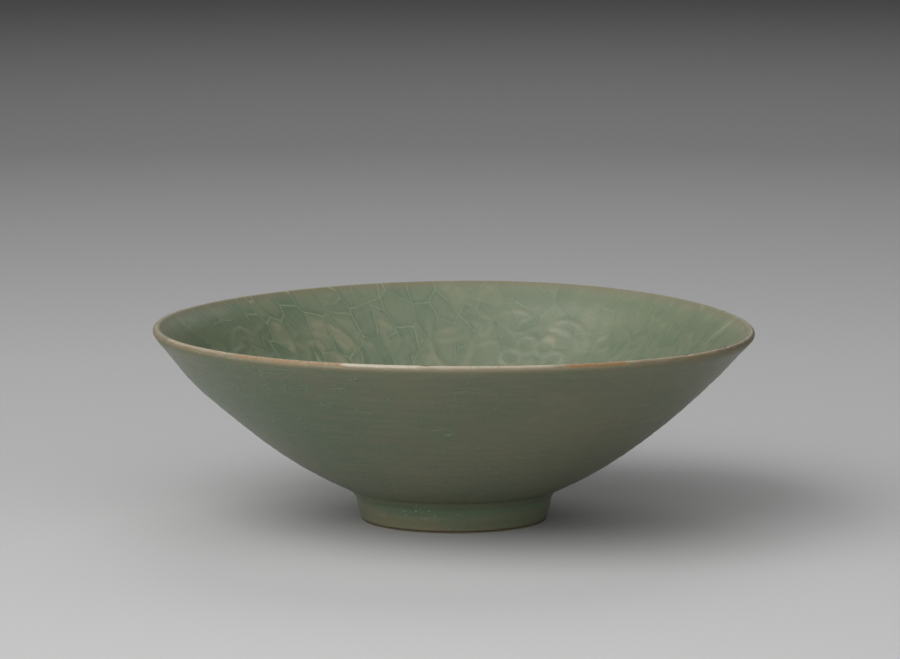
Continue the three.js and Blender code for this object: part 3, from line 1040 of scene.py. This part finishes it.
        # Iron specks about half a millimetre wide lie far apart, and burst bubbles show white.
        # Only the outside coat has the attribute burst, which reads as 0 on the others
        grains, bubbles = (
            add(tree, "TexVoronoi", {"Vector": object_at, "Scale": per_metre(apart)}) for apart in (6.5, 1.4)
        )
        speck = add(tree, "MapRange", {0: grains, 1: 0.025, 2: 0.055, 3: 0.6, 4: 0.0})
        bubble = add(tree, "MapRange", {0: bubbles, 1: 0.12, 2: 0.3, 3: 0.8, 4: 0.0})
        whitened = add(tree, "Math", {0: bubble, 1: burst}, operation="MULTIPLY")
        colour = tint
        for shown, paint in (
            (burnt, self.bare),
            (cracks, self.crackle_colour),
            (threads, self.crackle_colour),
            (speck, "#4b4433"),
            (whitened, "#aebfae"),
        ):
            colour = add(tree, "Mix", {0: shown, 6: colour, 7: paint}, data_type="RGBA")

        # The surface is like fine orange peel, with a small step at each crack
        peel = add(tree, "TexNoise", {"Vector": object_at, "Scale": per_metre(1.6), "Detail": 3})
        glossy = add(tree, "MapRange", {0: mottle, 3: self.roughness - 0.08, 4: self.roughness + 0.12})
        dull = add(tree, "Math", {0: edge, 1: 0.3, 2: glossy}, operation="MULTIPLY_ADD")
        stepped_down = add(tree, "Math", {0: tone, 1: 0.5, 2: peel}, operation="MULTIPLY_ADD")
        sunk = add(tree, "Math", {0: crack_seen, 1: -0.4, 2: stepped_down}, operation="MULTIPLY_ADD")
        surface(tree, colour, dull, sunk, 0.3)
        return material


@dataclass(frozen=True)
class BareStoneware:
    """Iron-bearing stoneware, wiped bare of glaze and fired: granular, buff, and orange where it
    flashed. A skin of thin glaze stays on it beside the coats.
    """

    name: str = "Fired stoneware lip and foot, wiped and flashed"
    worn: str = "#978b76"
    worn_dark: str = "#8c8067"
    # Pale bare clay, also the colour of the painted highlight along the lip's crest
    pale: str = "#b4ab99"
    flashed: str = "#8b673c"
    dark: str = "#3a3225"
    skin: str = "#736b54"
    grain: float = 0.65

    def material(self) -> bpy.types.Material:
        """Makes the material.

        Returns:
            The material, which reads the attributes flash, bleach, skin and burnt.
        """
        material, tree, object_at = new_material(self.name)
        grain, patch = (
            add(tree, "TexNoise", {"Vector": object_at, "Scale": per_metre(size), "Detail": 4})
            for size in (self.grain, 5)
        )

        # Each layer shows where its attribute, made ragged by a noise, passes its start
        layers = (
            ("skin", patch, 0.7, (0.5, 1.1), self.skin),
            # The pale layer is pale bare clay and chipped nicks, and along the lip's crest it is also a
            # painted highlight
            ("bleach", patch, 0.7, (0.3, 1.0), self.pale),
            ("flash", grain, 1.8, (1.05, 1.5), self.flashed),
            ("burnt", patch, 0.5, (0.5, 1.0), self.dark),
        )
        colour = add(tree, "Mix", {0: grain, 6: self.worn, 7: self.worn_dark}, data_type="RGBA")
        for name, noise, share, (start, end), tint in layers:
            amount = add(tree, "Attribute", attribute_name=name).outputs["Fac"]
            ragged = add(tree, "Math", {0: noise, 1: share, 2: amount}, operation="MULTIPLY_ADD")
            shown = add(tree, "MapRange", {0: ragged, 1: start, 2: end})
            colour = add(tree, "Mix", {0: shown, 6: colour, 7: tint}, data_type="RGBA")
        surface(tree, colour, 0.55, grain, 0.5)
        return material


@dataclass(frozen=True)
class QuartzStub:
    """Crushed quartz and clay that stuck to the base when the spur was knocked off: chalky white."""

    name: str = "Crushed quartz, broken off"

    def material(self) -> bpy.types.Material:
        """Makes the material.

        Returns:
            The material.
        """
        material, tree, object_at = new_material(self.name)
        grain = add(tree, "TexNoise", {"Vector": object_at, "Scale": per_metre(0.5), "Detail": 5})
        colour = add(tree, "ValToRGB", {0: grain}, [(0.3, "#a89a80"), (0.62, "#e4dfd2")])
        surface(tree, colour, 0.85, grain, 0.7)
        return material


@dataclass(frozen=True)
class LipPatch:
    """A stretch of the lip with its own colour, from one angle to another in degrees."""

    start: float
    end: float
    flash: float = 0.0
    bleach: float = 0.0
    skin: float = 0.0

    def shown(self, degrees: np.ndarray) -> np.ndarray:
        """How much of it shows at angles, with soft ends."""
        return within(degrees, (self.start - 1.2, self.start + 0.6), (self.end - 0.6, self.end + 1.2))


@dataclass(frozen=True)
class Nick:
    """A small chip out of the lip: its angle in degrees, its width, depth and half its breadth."""

    angle: float
    width: float
    depth: float
    across: float = 0.6


@dataclass
class Piece:
    """What every piece of the bowl shares: the clay under it and how the kiln moved it."""

    clay: Clay
    warp: Warp

    def settle(self, mesh: bpy.types.Mesh, angle: np.ndarray, lift: np.ndarray) -> None:
        """Lifts a turned mesh off its profile, warps it and sets it in metres.

        Args:
            mesh: The mesh, with its remembered values as attributes.
            angle: Angle of each point round the axis.
            lift: How far each point is lifted out of the clay.
        """
        radius, height, out_radius, out_height, _, _ = read_attributes(mesh, *REMEMBERED)
        out = radius + out_radius * lift
        true = np.stack([out * np.cos(angle), out * np.sin(angle), height + out_height * lift], axis=1)
        moved = self.warp.moved(true, self.clay.height)
        mesh.vertices.foreach_set("co", (moved * MM).astype(np.float32).ravel())
        for name in REMEMBERED:
            mesh.attributes.remove(mesh.attributes[name])
        mesh.shade_smooth()
        mesh.update()


@dataclass(frozen=True)
class Stress:
    """Where the glaze crazed: the angle and its spread in degrees, and how much of each net."""

    angle: float
    spread: float
    coarse: float = 0.0
    fine: float = 0.0


@dataclass(frozen=True)
class Spill:
    """A patch where the coat is thicker or thinner: angle in degrees, height, sizes and change."""

    angle: float
    height: float
    half_angle: float
    half_height: float
    change: float

    def spread(self, angle: np.ndarray, height: np.ndarray) -> np.ndarray:
        """The change at angles in radians and heights.

        Args:
            angle: Angles round the axis, in radians.
            height: Heights above the foot's resting edge.

        Returns:
            The change at each place.
        """
        turn = turn_from(self.angle, np.degrees(angle))
        far = (turn / self.half_angle) ** 2 + ((height - self.height) / self.half_height) ** 2
        return self.change * np.exp(-far)


@dataclass
class GlazeCoat(Piece):
    """One coat of glaze, closed against the clay behind it.

    Attributes:
        coat: Which coat it is.
        finish: Its glaze.
        thickness, edge_thickness: How thick it is in the open and at a bare edge.
        fade: Distance from a bare edge over which it thins.
        columns: Steps round the axis.
        back_row: Step between the rings of its hidden back.
        seated: How far its back lies in the clay, so that the two faces never touch.
        at_axis: Radius within which a point is on the axis.
        samples: On how many places its profile's directions are read.
        barrel: Radius at which the crackle is wrapped.
        stretch, twist: How far the crackle is drawn out along the wall, and how it leans.
        crazed: How much of the coarse net shows where no stress changes it.
        pool: Depth of the glaze's colour where nothing pools.
        browned: Distances from its bare edge at which it starts to brown and would be all brown.
        spills: Patches where it is thicker or thinner.
        stresses: Where it crazed.
    """

    coat: Coat
    finish: Celadon
    thickness: float
    edge_thickness: float = 0.06
    fade: float = 4.0
    columns: int = 360
    back_row: float = 6.0
    seated: float = 0.02
    at_axis: float = 0.01
    samples: int = 900
    barrel: float = 60.0
    stretch: float = 1.0
    twist: float = 0.0
    crazed: float = 0.3
    pool: float = 0.4
    browned: tuple[float, float] = (3.0, -0.8)
    spills: tuple[Spill, ...] = ()
    stresses: tuple[Stress, ...] = ()

    def turned(self, run: np.ndarray, rows: np.ndarray, finer: float | None = None) -> Turned:
        """A closed skin over a run of the clay's profile.

        Args:
            run: The clay's profile under the coat.
            rows: Distances along the run of the rings of the showing face.
            finer: Reach beyond which the face has three columns for each one.

        Returns:
            The skin, with its face first and its back after it.
        """
        # Ways out are read on close places, so that they turn smoothly round the lip and corners
        places = np.linspace(rows[0], rows[-1], self.samples)
        ways_out = outs_of(walked(run, places))
        back_rows = np.linspace(rows[-1], rows[0], math.ceil((rows[-1] - rows[0]) / self.back_row) + 1)
        # A run that ends on the axis is turned round, so that the skin starts and ends there
        if walked(run, rows)[-1, 0] < self.at_axis:
            rows, back_rows = rows[::-1], back_rows[::-1]
        face, back = walked(run, rows), walked(run, back_rows)
        out, back_out = between(rows, places, ways_out), between(back_rows, places, ways_out)
        on_axis = face[0, 0] < self.at_axis
        if on_axis:
            out[0] = [0, np.sign(out[0, 1])]
        back -= self.seated * back_out
        back[back[:, 0] < self.at_axis, 0] = 0
        return Turned(
            points=np.concatenate([face, back]),
            out=np.concatenate([out, np.zeros_like(back)]),
            reach=np.concatenate([rows, back_rows]),
            face=np.concatenate([np.ones(len(rows)), np.zeros(len(back))]),
            columns=self.columns,
            closed=not on_axis,
            finer=finer,
        )

    def craze(
        self, mesh: bpy.types.Mesh, angle: np.ndarray, along: np.ndarray, girth: np.ndarray | float
    ) -> None:
        """Writes where the cracks run and how many show.

        Args:
            mesh: The coat's mesh.
            angle: Angle of each point round the axis.
            along: Distance of each point along the wall.
            girth: Radius at which the pattern is wrapped, which keeps its cells' width.
        """
        leant = angle + np.radians(self.twist) * along
        barrel = [girth * np.cos(leant), girth * np.sin(leant), along / self.stretch]
        coarse, fine = np.full_like(angle, self.crazed), np.zeros_like(angle)
        for stress in self.stresses:
            near = np.exp(-((turn_from(stress.angle, np.degrees(angle)) / stress.spread) ** 2))
            coarse += stress.coarse * near
            fine += stress.fine * near
        write_attributes(
            mesh, flow=np.stack(barrel, axis=1), coarse=np.clip(coarse, 0, 1), fine=np.clip(fine, 0, 1)
        )

    def spilt(self, angle: np.ndarray, height: np.ndarray) -> np.ndarray:
        """How much the spills change the glaze's depth at angles in radians and heights."""
        return sum(spill.spread(angle, height) for spill in self.spills)

    def depth_at(self, to_edge: np.ndarray) -> np.ndarray:
        """Thickness of the coat at a distance from its nearest bare edge."""
        return self.edge_thickness + (self.thickness - self.edge_thickness) * smooth(to_edge, 0, self.fade)


@dataclass
class MouldedInside(GlazeCoat):
    """The inside coat, with the moulded ornament on its face."""

    pool: float = 0.45
    pool_in_hollows: float = 1.7
    browned: tuple[float, float] = (5.5, -0.6)
    ornament: Ornament = field(default_factory=Ornament)
    lip_end: float = 100.0
    row: float = 0.62
    floor_row: float = 1.3
    lip_row: float = 0.3
    finer_from: float = 36.0
    barrel_from: float = 52.0

    def build(self) -> None:
        """Builds and dresses the coat."""
        run = np.concatenate([self.clay.inside(), self.clay.lip(end=self.lip_end)[1:]])
        end = lengths_along(run)[-1]
        relief = Relief(self.ornament, run, self.clay.crest)
        rows = stepped([(0, self.floor_row), (self.finer_from, self.row), (end - 3, self.lip_row)], end)
        mesh = self.turned(run, rows, self.finer_from - 0.1).mesh("moulded_inside")
        reach, face, height = read_attributes(mesh, "reach", "face", "height")
        angle = angles_of(mesh)
        raised = relief.read(relief.height, angle, reach)
        pooled = relief.read(relief.depth, angle, reach)
        self.settle(mesh, angle, face * (self.depth_at(end - reach) + raised))
        write_attributes(
            mesh,
            pool=self.pool + self.pool_in_hollows * pooled + self.spilt(angle, height),
            edge=smooth(end - reach, *self.browned),
        )
        opened = np.sin(np.minimum(reach / self.barrel_from, 1) * math.pi / 2)
        self.craze(mesh, angle, reach, self.barrel * opened)
        stand_in(mesh, self.finish.material(), self.coat.value)


@dataclass
class OutsideCoat(GlazeCoat):
    """The coat over the outer wall and the foot's side, with the marks of throwing and turning."""

    lip_start: float = 12.0
    bare_at_foot: float = 0.1
    row: float = 0.9
    lip_row: float = 0.25
    foot_row: float = 0.45
    groove: float = 0.035
    uneven: float = 0.1
    quiet_edge: float = 9.0
    pool_at_foot: float = 0.6
    pool_drop: float = 1.4
    pool_half_height: float = 1.6
    browned_at_foot: tuple[float, float] = (1.5, -0.6)
    spills: tuple[Spill, ...] = (
        Spill(-116, 7.0, 14, 2.4, 0.55),
        Spill(-90, 6.4, 9, 2.2, 0.3),
        Spill(-60, 5.6, 8, 3, 0.2),
        Spill(-128, 2.4, 18, 2.0, -0.5),
        Spill(-104, 1.4, 10, 1.2, -0.35),
        Spill(40, 6.0, 16, 2.6, 0.4),
        Spill(150, 3.0, 20, 2.2, -0.4),
        Spill(-138, 42, 40, 12, 0.3),
        Spill(-112, 30, 24, 10, 0.12),
        Spill(-70, 34, 34, 16, -0.1),
        Spill(64, 38, 50, 14, 0.2),
    )
    burst: Spill = Spill(-111, 6.6, 9, 1.8, 1.0)

    def build(self) -> None:
        """Builds and dresses the coat."""
        run = np.concatenate([self.clay.lip(start=self.lip_start)[:-1], self.clay.outside()])
        end = lengths_along(run)[-1] - self.bare_at_foot
        near_foot = end - self.clay.foot_height - 3
        rows = stepped([(0, self.lip_row), (3, self.row), (near_foot, self.foot_row)], end)
        mesh = self.turned(run, rows).mesh("outside_coat")
        reach, face, height = read_attributes(mesh, "reach", "face", "height")
        angle = angles_of(mesh)
        close_rings = np.sin(reach * 1.9 + 0.6 * np.sin(angle))
        wide_rings = np.sin(reach * 0.83 + 1.1 + 0.4 * np.cos(angle))
        rings = close_rings + 0.7 * wide_rings
        slow = np.sin(3 * angle + 0.05 * reach) * np.sin(0.09 * reach + 2 * np.cos(angle))
        to_edge = np.minimum(reach, end - reach)
        quiet = smooth(to_edge, 0, self.quiet_edge)
        marks = quiet * (self.groove * rings + self.uneven * slow)
        above_pool = (height - self.clay.foot_height + self.pool_drop) / self.pool_half_height
        pooled = self.pool_at_foot * np.exp(-(above_pool**2))
        self.settle(mesh, angle, face * (self.depth_at(to_edge) + marks))
        write_attributes(
            mesh,
            pool=self.pool + pooled + 0.02 * rings * quiet + self.spilt(angle, height),
            burst=self.burst.spread(angle, height),
            edge=np.maximum(smooth(reach, *self.browned), smooth(end - reach, *self.browned_at_foot)),
        )
        self.craze(mesh, angle, reach, self.barrel)
        stand_in(mesh, self.finish.material(), self.coat.value)


@dataclass
class BaseCoat(GlazeCoat):
    """The coat in the recess under the base, with turning rings that run out to its corner."""

    bare: float = 0.3
    row: float = 0.7
    groove: float = 0.04
    corner: float = 21.0
    corner_width: float = 2.2
    browned: tuple[float, float] = (3.0, -0.5)

    def build(self) -> None:
        """Builds and dresses the coat."""
        run = self.clay.base()
        rows = stepped([(self.bare, self.row)], lengths_along(run)[-1])
        mesh = self.turned(run, rows).mesh("base_coat")
        reach, face, radius = read_attributes(mesh, "reach", "face", "radius")
        angle = angles_of(mesh)
        rings = np.sin(radius * 2.4 + 0.5 * np.sin(angle)) * smooth(radius, 0, 4)
        corner = np.exp(-(((radius - self.corner) / self.corner_width) ** 2))
        marks = self.groove * rings * smooth(reach, 6, 9)
        self.settle(mesh, angle, face * (self.depth_at(reach - self.bare) + marks))
        write_attributes(
            mesh, pool=self.pool + 0.5 * corner + 0.08 * rings, edge=smooth(reach, *self.browned)
        )
        self.craze(mesh, angle, reach, radius)
        stand_in(mesh, self.finish.material(), self.coat.value)


@dataclass
class FiredBody(Piece):
    """The fired clay, which shows at the lip and at the foot's resting edge.

    Attributes:
        finish: Its bare surface.
        columns: Steps round the axis.
        wide_row, corner_row, lip_row, foot_row: Steps between rings where it is plain and hidden,
            at corners, at the lip and at the foot's resting edge.
        tucked: How far it stays inside the coats where they hide it.
        grain, waves: Height of the lip's unevenness, and how many waves of it go round.
        chalky: How pale a nick is.
        patches: Stretches of the lip with their own colour.
        nicks: Small chips out of the lip.
    """

    finish: BareStoneware
    columns: int = 720
    wide_row: float = 9.0
    corner_row: float = 0.6
    lip_row: float = 0.3
    foot_row: float = 0.4
    tucked: float = 0.12
    chalky: float = 0.7
    grain: float = 0.04
    waves: tuple[int, ...] = (89, 147, 211, 283)
    patches: tuple[LipPatch, ...] = (
        LipPatch(-180, -160, skin=0.6),
        LipPatch(-160, -140, flash=0.15, bleach=0.15, skin=0.1),
        LipPatch(-135, -111, flash=0.36),
        LipPatch(-110.5, -97, bleach=0.9),
        LipPatch(-96, -72, bleach=0.35, flash=0.06),
        LipPatch(-69, -57, flash=0.52),
        LipPatch(-54, -30, flash=0.12, skin=0.45),
        LipPatch(-30, 20, skin=0.8),
        LipPatch(20, 60, flash=0.1, skin=0.9),
        LipPatch(60, 160, skin=0.9),
        LipPatch(160, 180, skin=0.8),
    )
    nicks: tuple[Nick, ...] = (
        Nick(-95.2, 2.0, 0.28),
        Nick(-40.5, 2.4, 0.25),
        Nick(-26, 1.8, 0.2),
        Nick(-138, 1.2, 0.2),
        Nick(64, 1.8, 0.2),
        Nick(133, 1.4, 0.2),
    )

    def skin(self) -> Turned:
        """The closed skin, with close rings where it shows or bends.

        Returns:
            The skin, whose face is 1 at the lip and at the foot's resting edge.
        """
        clay = self.clay
        inside, lip, outside, resting = clay.inside(), clay.lip(), clay.outside(), clay.resting()
        run = np.concatenate([inside[:-1], lip, outside[1:-1], resting, clay.base()[1:]])
        lip_start = lengths_along(inside)[-1]
        lip_end = lip_start + lengths_along(lip)[-1]
        foot_start = lip_end + lengths_along(outside)[-1]
        foot_end = foot_start + lengths_along(resting)[-1]
        junction = foot_start - clay.foot_height
        marks = [
            (0, self.wide_row),
            (clay.well_radius - 2, self.corner_row),
            (clay.well_radius + 4, self.wide_row),
            (lip_start - 2, self.lip_row),
            (lip_end + 2, self.wide_row),
            (junction - 3, self.corner_row),
            (junction + 3, 2),
            (foot_start - 2, self.foot_row),
            (foot_end + 1.5, self.corner_row),
            (foot_end + clay.recess_depth + 3, self.wide_row),
        ]
        along = lengths_along(run)
        stations = stepped(marks, along[-1])
        out = between(stations, along, outs_of(run))
        out[0], out[-1] = [0, 1], [0, -1]
        at_lip = within(stations, (lip_start - 1, lip_start + 0.4), (lip_end - 1, lip_end + 0.6))
        at_foot = within(stations, (foot_start - 1.6, foot_start), (foot_end, foot_end + 1.6))
        return Turned(walked(run, stations), out, stations, at_lip + at_foot, self.columns)

    def build(self) -> None:
        """Builds and dresses the body."""
        mesh = self.skin().mesh("fired_body")
        reach, face, height = read_attributes(mesh, "reach", "face", "height")
        angle = angles_of(mesh)
        degrees = np.degrees(angle)
        over_lip = reach - self.clay.crest
        at_lip = height > self.clay.height / 2
        noise = sum(np.sin(count * angle + 1.7 * count + 2.3 * over_lip) for count in self.waves)
        lift = self.grain * noise / len(self.waves) * face * at_lip - self.tucked * (1 - face)
        flash, bleach, glazed = np.zeros((3, len(angle)))
        for nick in self.nicks:
            aside = np.radians(turn_from(nick.angle, degrees)) * self.clay.rim_radius / (nick.width / 2)
            chip = np.exp(-(aside**2) - (over_lip / nick.across) ** 2)
            lift -= nick.depth * chip
            bleach += self.chalky * chip
        for patch in self.patches:
            shown = patch.shown(degrees)
            flash += patch.flash * shown
            bleach += patch.bleach * shown
            glazed += patch.skin * shown
        self.settle(mesh, angle, lift)
        beside_coats = np.maximum(0.9 * smooth(over_lip, 0.5, 1.6), 0.8 * smooth(over_lip, -0.1, -0.6))
        write_attributes(
            mesh,
            flash=np.where(at_lip, flash * smooth(over_lip, 2.6, 1.6), 0.1),
            # Pale clay is kept to the crest and the inner side and fades out on the outer side, which paints
            # a highlight along the crest
            bleach=bleach * at_lip * smooth(over_lip, 1.7, 0.7),
            skin=np.maximum(beside_coats, glazed) * at_lip,
            burnt=np.where(at_lip, 0.0, smooth(height, 0.1, 0.5)),
        )
        stand_in(mesh, self.finish.material(), "stoneware_body")


@dataclass
class SpurMark:
    """A lump of quartz left on the base, with a broken tip.

    Attributes:
        node: The node that it stands for.
        finish: Its material.
        roughness: Depth of its breaks, as a share of its half size.
        flattened: How much of its lower half's height is left.
    """

    node: str
    finish: bpy.types.Material
    roughness: float = 0.12
    flattened: float = 0.45

    def build(self) -> None:
        """Builds and dresses the lump."""
        low, high = (Vector(corner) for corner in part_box(self.node))
        middle, half = (low + high) / 2, (high - low) / 2
        bm = bmesh.new()
        bmesh.ops.create_icosphere(bm, subdivisions=4, radius=1.0)
        for vert in bm.verts:
            x, y, z = vert.co
            broken = abs(math.sin(7 * x + 2 * y) * math.sin(6 * y + 3 * z) * math.cos(5 * z - 4 * x))
            flat = self.flattened if z < 0 else 1.0
            vert.co = Vector((x, y, z * flat - (1 - flat) * 0.2)) * (0.9 - self.roughness * broken)
        bmesh.ops.scale(bm, vec=half, verts=bm.verts)
        bmesh.ops.translate(bm, vec=middle, verts=bm.verts)
        top = max(vert.co.z for vert in bm.verts)
        bmesh.ops.translate(bm, vec=(0, 0, high.z - top), verts=bm.verts)
        bmesh.ops.recalc_face_normals(bm, faces=bm.faces)
        mesh = meshed(bm, self.node + "_lump")
        mesh.shade_smooth()
        stand_in(mesh, self.finish, self.node)


@dataclass(frozen=True)
class Lamp:
    """A soft round lamp that points to the bowl: where it hangs and its power in watts."""

    name: str
    place: tuple[float, float, float]
    power: float


@dataclass
class Studio:
    """A pale floor, painted darker with distance, under soft lamps, most of them on the left, seen from the
    front.
    """

    distance: float = 1.8
    elevation: float = 8.91
    pivot_height: float = 0.030
    aim: tuple[float, float, float] = (-0.00123, 0, 0.05878)
    lens: float = 233.3
    floor_size: float = 14.0
    lamp_size: float = 1.1
    lamps: tuple[Lamp, ...] = (
        Lamp("left", (-1.0, -0.3, 1.4), 6.6),
        Lamp("front_left", (-0.6, -1.1, 1.25), 7.6),
        Lamp("low_left", (-1.6, -0.4, 0.6), 2.8),
        Lamp("back", (0.1, 1.4, 1.1), 7.8),
    )
    skies: tuple = (((-0.15, -0.88, 0.43), 1.22), ((-0.9, 0, 0.43), 0.23))

    def floor(self) -> None:
        """Lays the floor, whose colour is painted darker with distance: a painted falloff of light, as on a
        paper sweep lit from above.
        """
        bm = bmesh.new()
        bmesh.ops.create_grid(bm, x_segments=1, y_segments=1, size=self.floor_size / 2)
        mesh = meshed(bm, "floor")
        material, tree, at = new_material("Studio paper, grey, painted darker with distance")
        far = add(tree, "VectorMath", {0: at, 1: (0.0, -0.45, 0.0)}, operation="DISTANCE")
        share = add(tree, "Math", {0: far, 1: 0.4}, operation="MULTIPLY")
        # The stops paint the falloff of light from the near floor to the far floor
        stops = [
            (0.05, "#c6c6c6"),
            (1.0, "#4b4b4b"),
            (0.23, "#aeaeae"),
            (0.32, "#a5a5a5"),
            (0.45, "#8f8f8f"),
            (0.6, "#717171"),
        ]
        paper = add(tree, "BsdfDiffuse", {"Color": add(tree, "ValToRGB", {0: share}, stops)})
        add(tree, "OutputMaterial", {"Surface": paper})
        mesh.materials.append(material)
        linked("floor", mesh)

    def light(self) -> None:
        """Hangs the lamps and sets the pale surroundings, which are brightest in front."""
        for lamp in self.lamps:
            data = bpy.data.lights.new(lamp.name, "AREA")
            data.shape = "DISK"
            data.size = self.lamp_size
            data.energy = lamp.power
            aimed(lamp.name, data, Vector(lamp.place), Vector((0, 0, 0)))
        world = bpy.data.worlds.new("surroundings")
        world.use_nodes = True
        tree = world.node_tree
        tree.nodes.clear()
        way = add(tree, "TexCoord").outputs["Generated"]
        strength = 0.0
        for brightest, most in self.skies:
            towards = add(tree, "VectorMath", {0: way, 1: brightest}, operation="DOT_PRODUCT")
            glow = add(tree, "MapRange", {0: towards, 4: most})
            strength = add(tree, "Math", {0: glow, 1: strength}, operation="ADD")
        background = add(tree, "Background", {"Color": (1, 1, 1, 1), "Strength": strength})
        add(tree, "OutputWorld", {"Surface": background})
        bpy.context.scene.world = world

    def camera(self) -> None:
        """Sets the camera where the photograph was taken from."""
        tilt = math.radians(self.elevation)
        height = self.pivot_height + self.distance * math.sin(tilt)
        data = bpy.data.cameras.new("camera")
        data.lens = self.lens
        data.sensor_width = 36.0
        data.clip_end = 50.0
        eye = Vector((0, -self.distance * math.cos(tilt), height))
        bpy.context.scene.camera = aimed("camera", data, eye, Vector(self.aim))

    def build(self) -> None:
        """Sets up the floor, the light, the camera and the plain view transform."""
        self.camera()
        self.floor()
        self.light()
        bpy.context.scene.view_settings.view_transform = "Standard"


def main() -> None:
    """Builds the studio and every piece of the bowl, in order."""
    logging.basicConfig(level=logging.INFO, format="%(message)s")
    Studio().build()
    clay, warp = Clay(), Warp()
    FiredBody(clay, warp, BareStoneware()).build()
    inside = Celadon("Celadon glaze inside, pooled over the moulded relief")
    MouldedInside(
        clay,
        warp,
        Coat.INSIDE,
        inside,
        thickness=0.5,
        columns=240,
        barrel=64,
        stretch=2.5,
        fade=9,
        twist=-0.1,
        spills=(Spill(36, 42, 22, 26, 0.32), Spill(140, 40, 40, 30, 0.12)),
        stresses=(
            Stress(130, 36, coarse=0.8),
            Stress(162, 24, coarse=-0.2, fine=0.65),
            Stress(112, 16, fine=0.3),
            Stress(20, 26, coarse=-0.1, fine=1.0),
            Stress(-60, 70, 0.3, 0.3),
        ),
    ).build()
    outside = Celadon(
        "Celadon glaze outside, thin over turned clay",
        thin="#76745b",
        body="#6b6f58",
        deep="#596a52",
        bare="#776d55",
        mottle=4.0,
        streaked=True,
        crackle=6.0,
        crackle_width=0.2,
        crackle_share=0.6,
        facets=0.14,
        mottled=0.75,
        roughness=0.34,
    )
    OutsideCoat(
        clay,
        warp,
        Coat.OUTSIDE,
        outside,
        thickness=0.5,
        stretch=0.25,
        stresses=(Stress(-130, 50, coarse=0.7), Stress(40, 60, coarse=0.4)),
    ).build()
    base = Celadon("Celadon glaze under the base, pooled in the corner", body="#6a7056")
    BaseCoat(clay, warp, Coat.BASE, base, thickness=0.5, columns=240).build()
    quartz = QuartzStub().material()
    for index in range(1, 4):
        SpurMark(f"spur_mark_{index}", quartz).build()


if __name__ == "__main__":
    main()
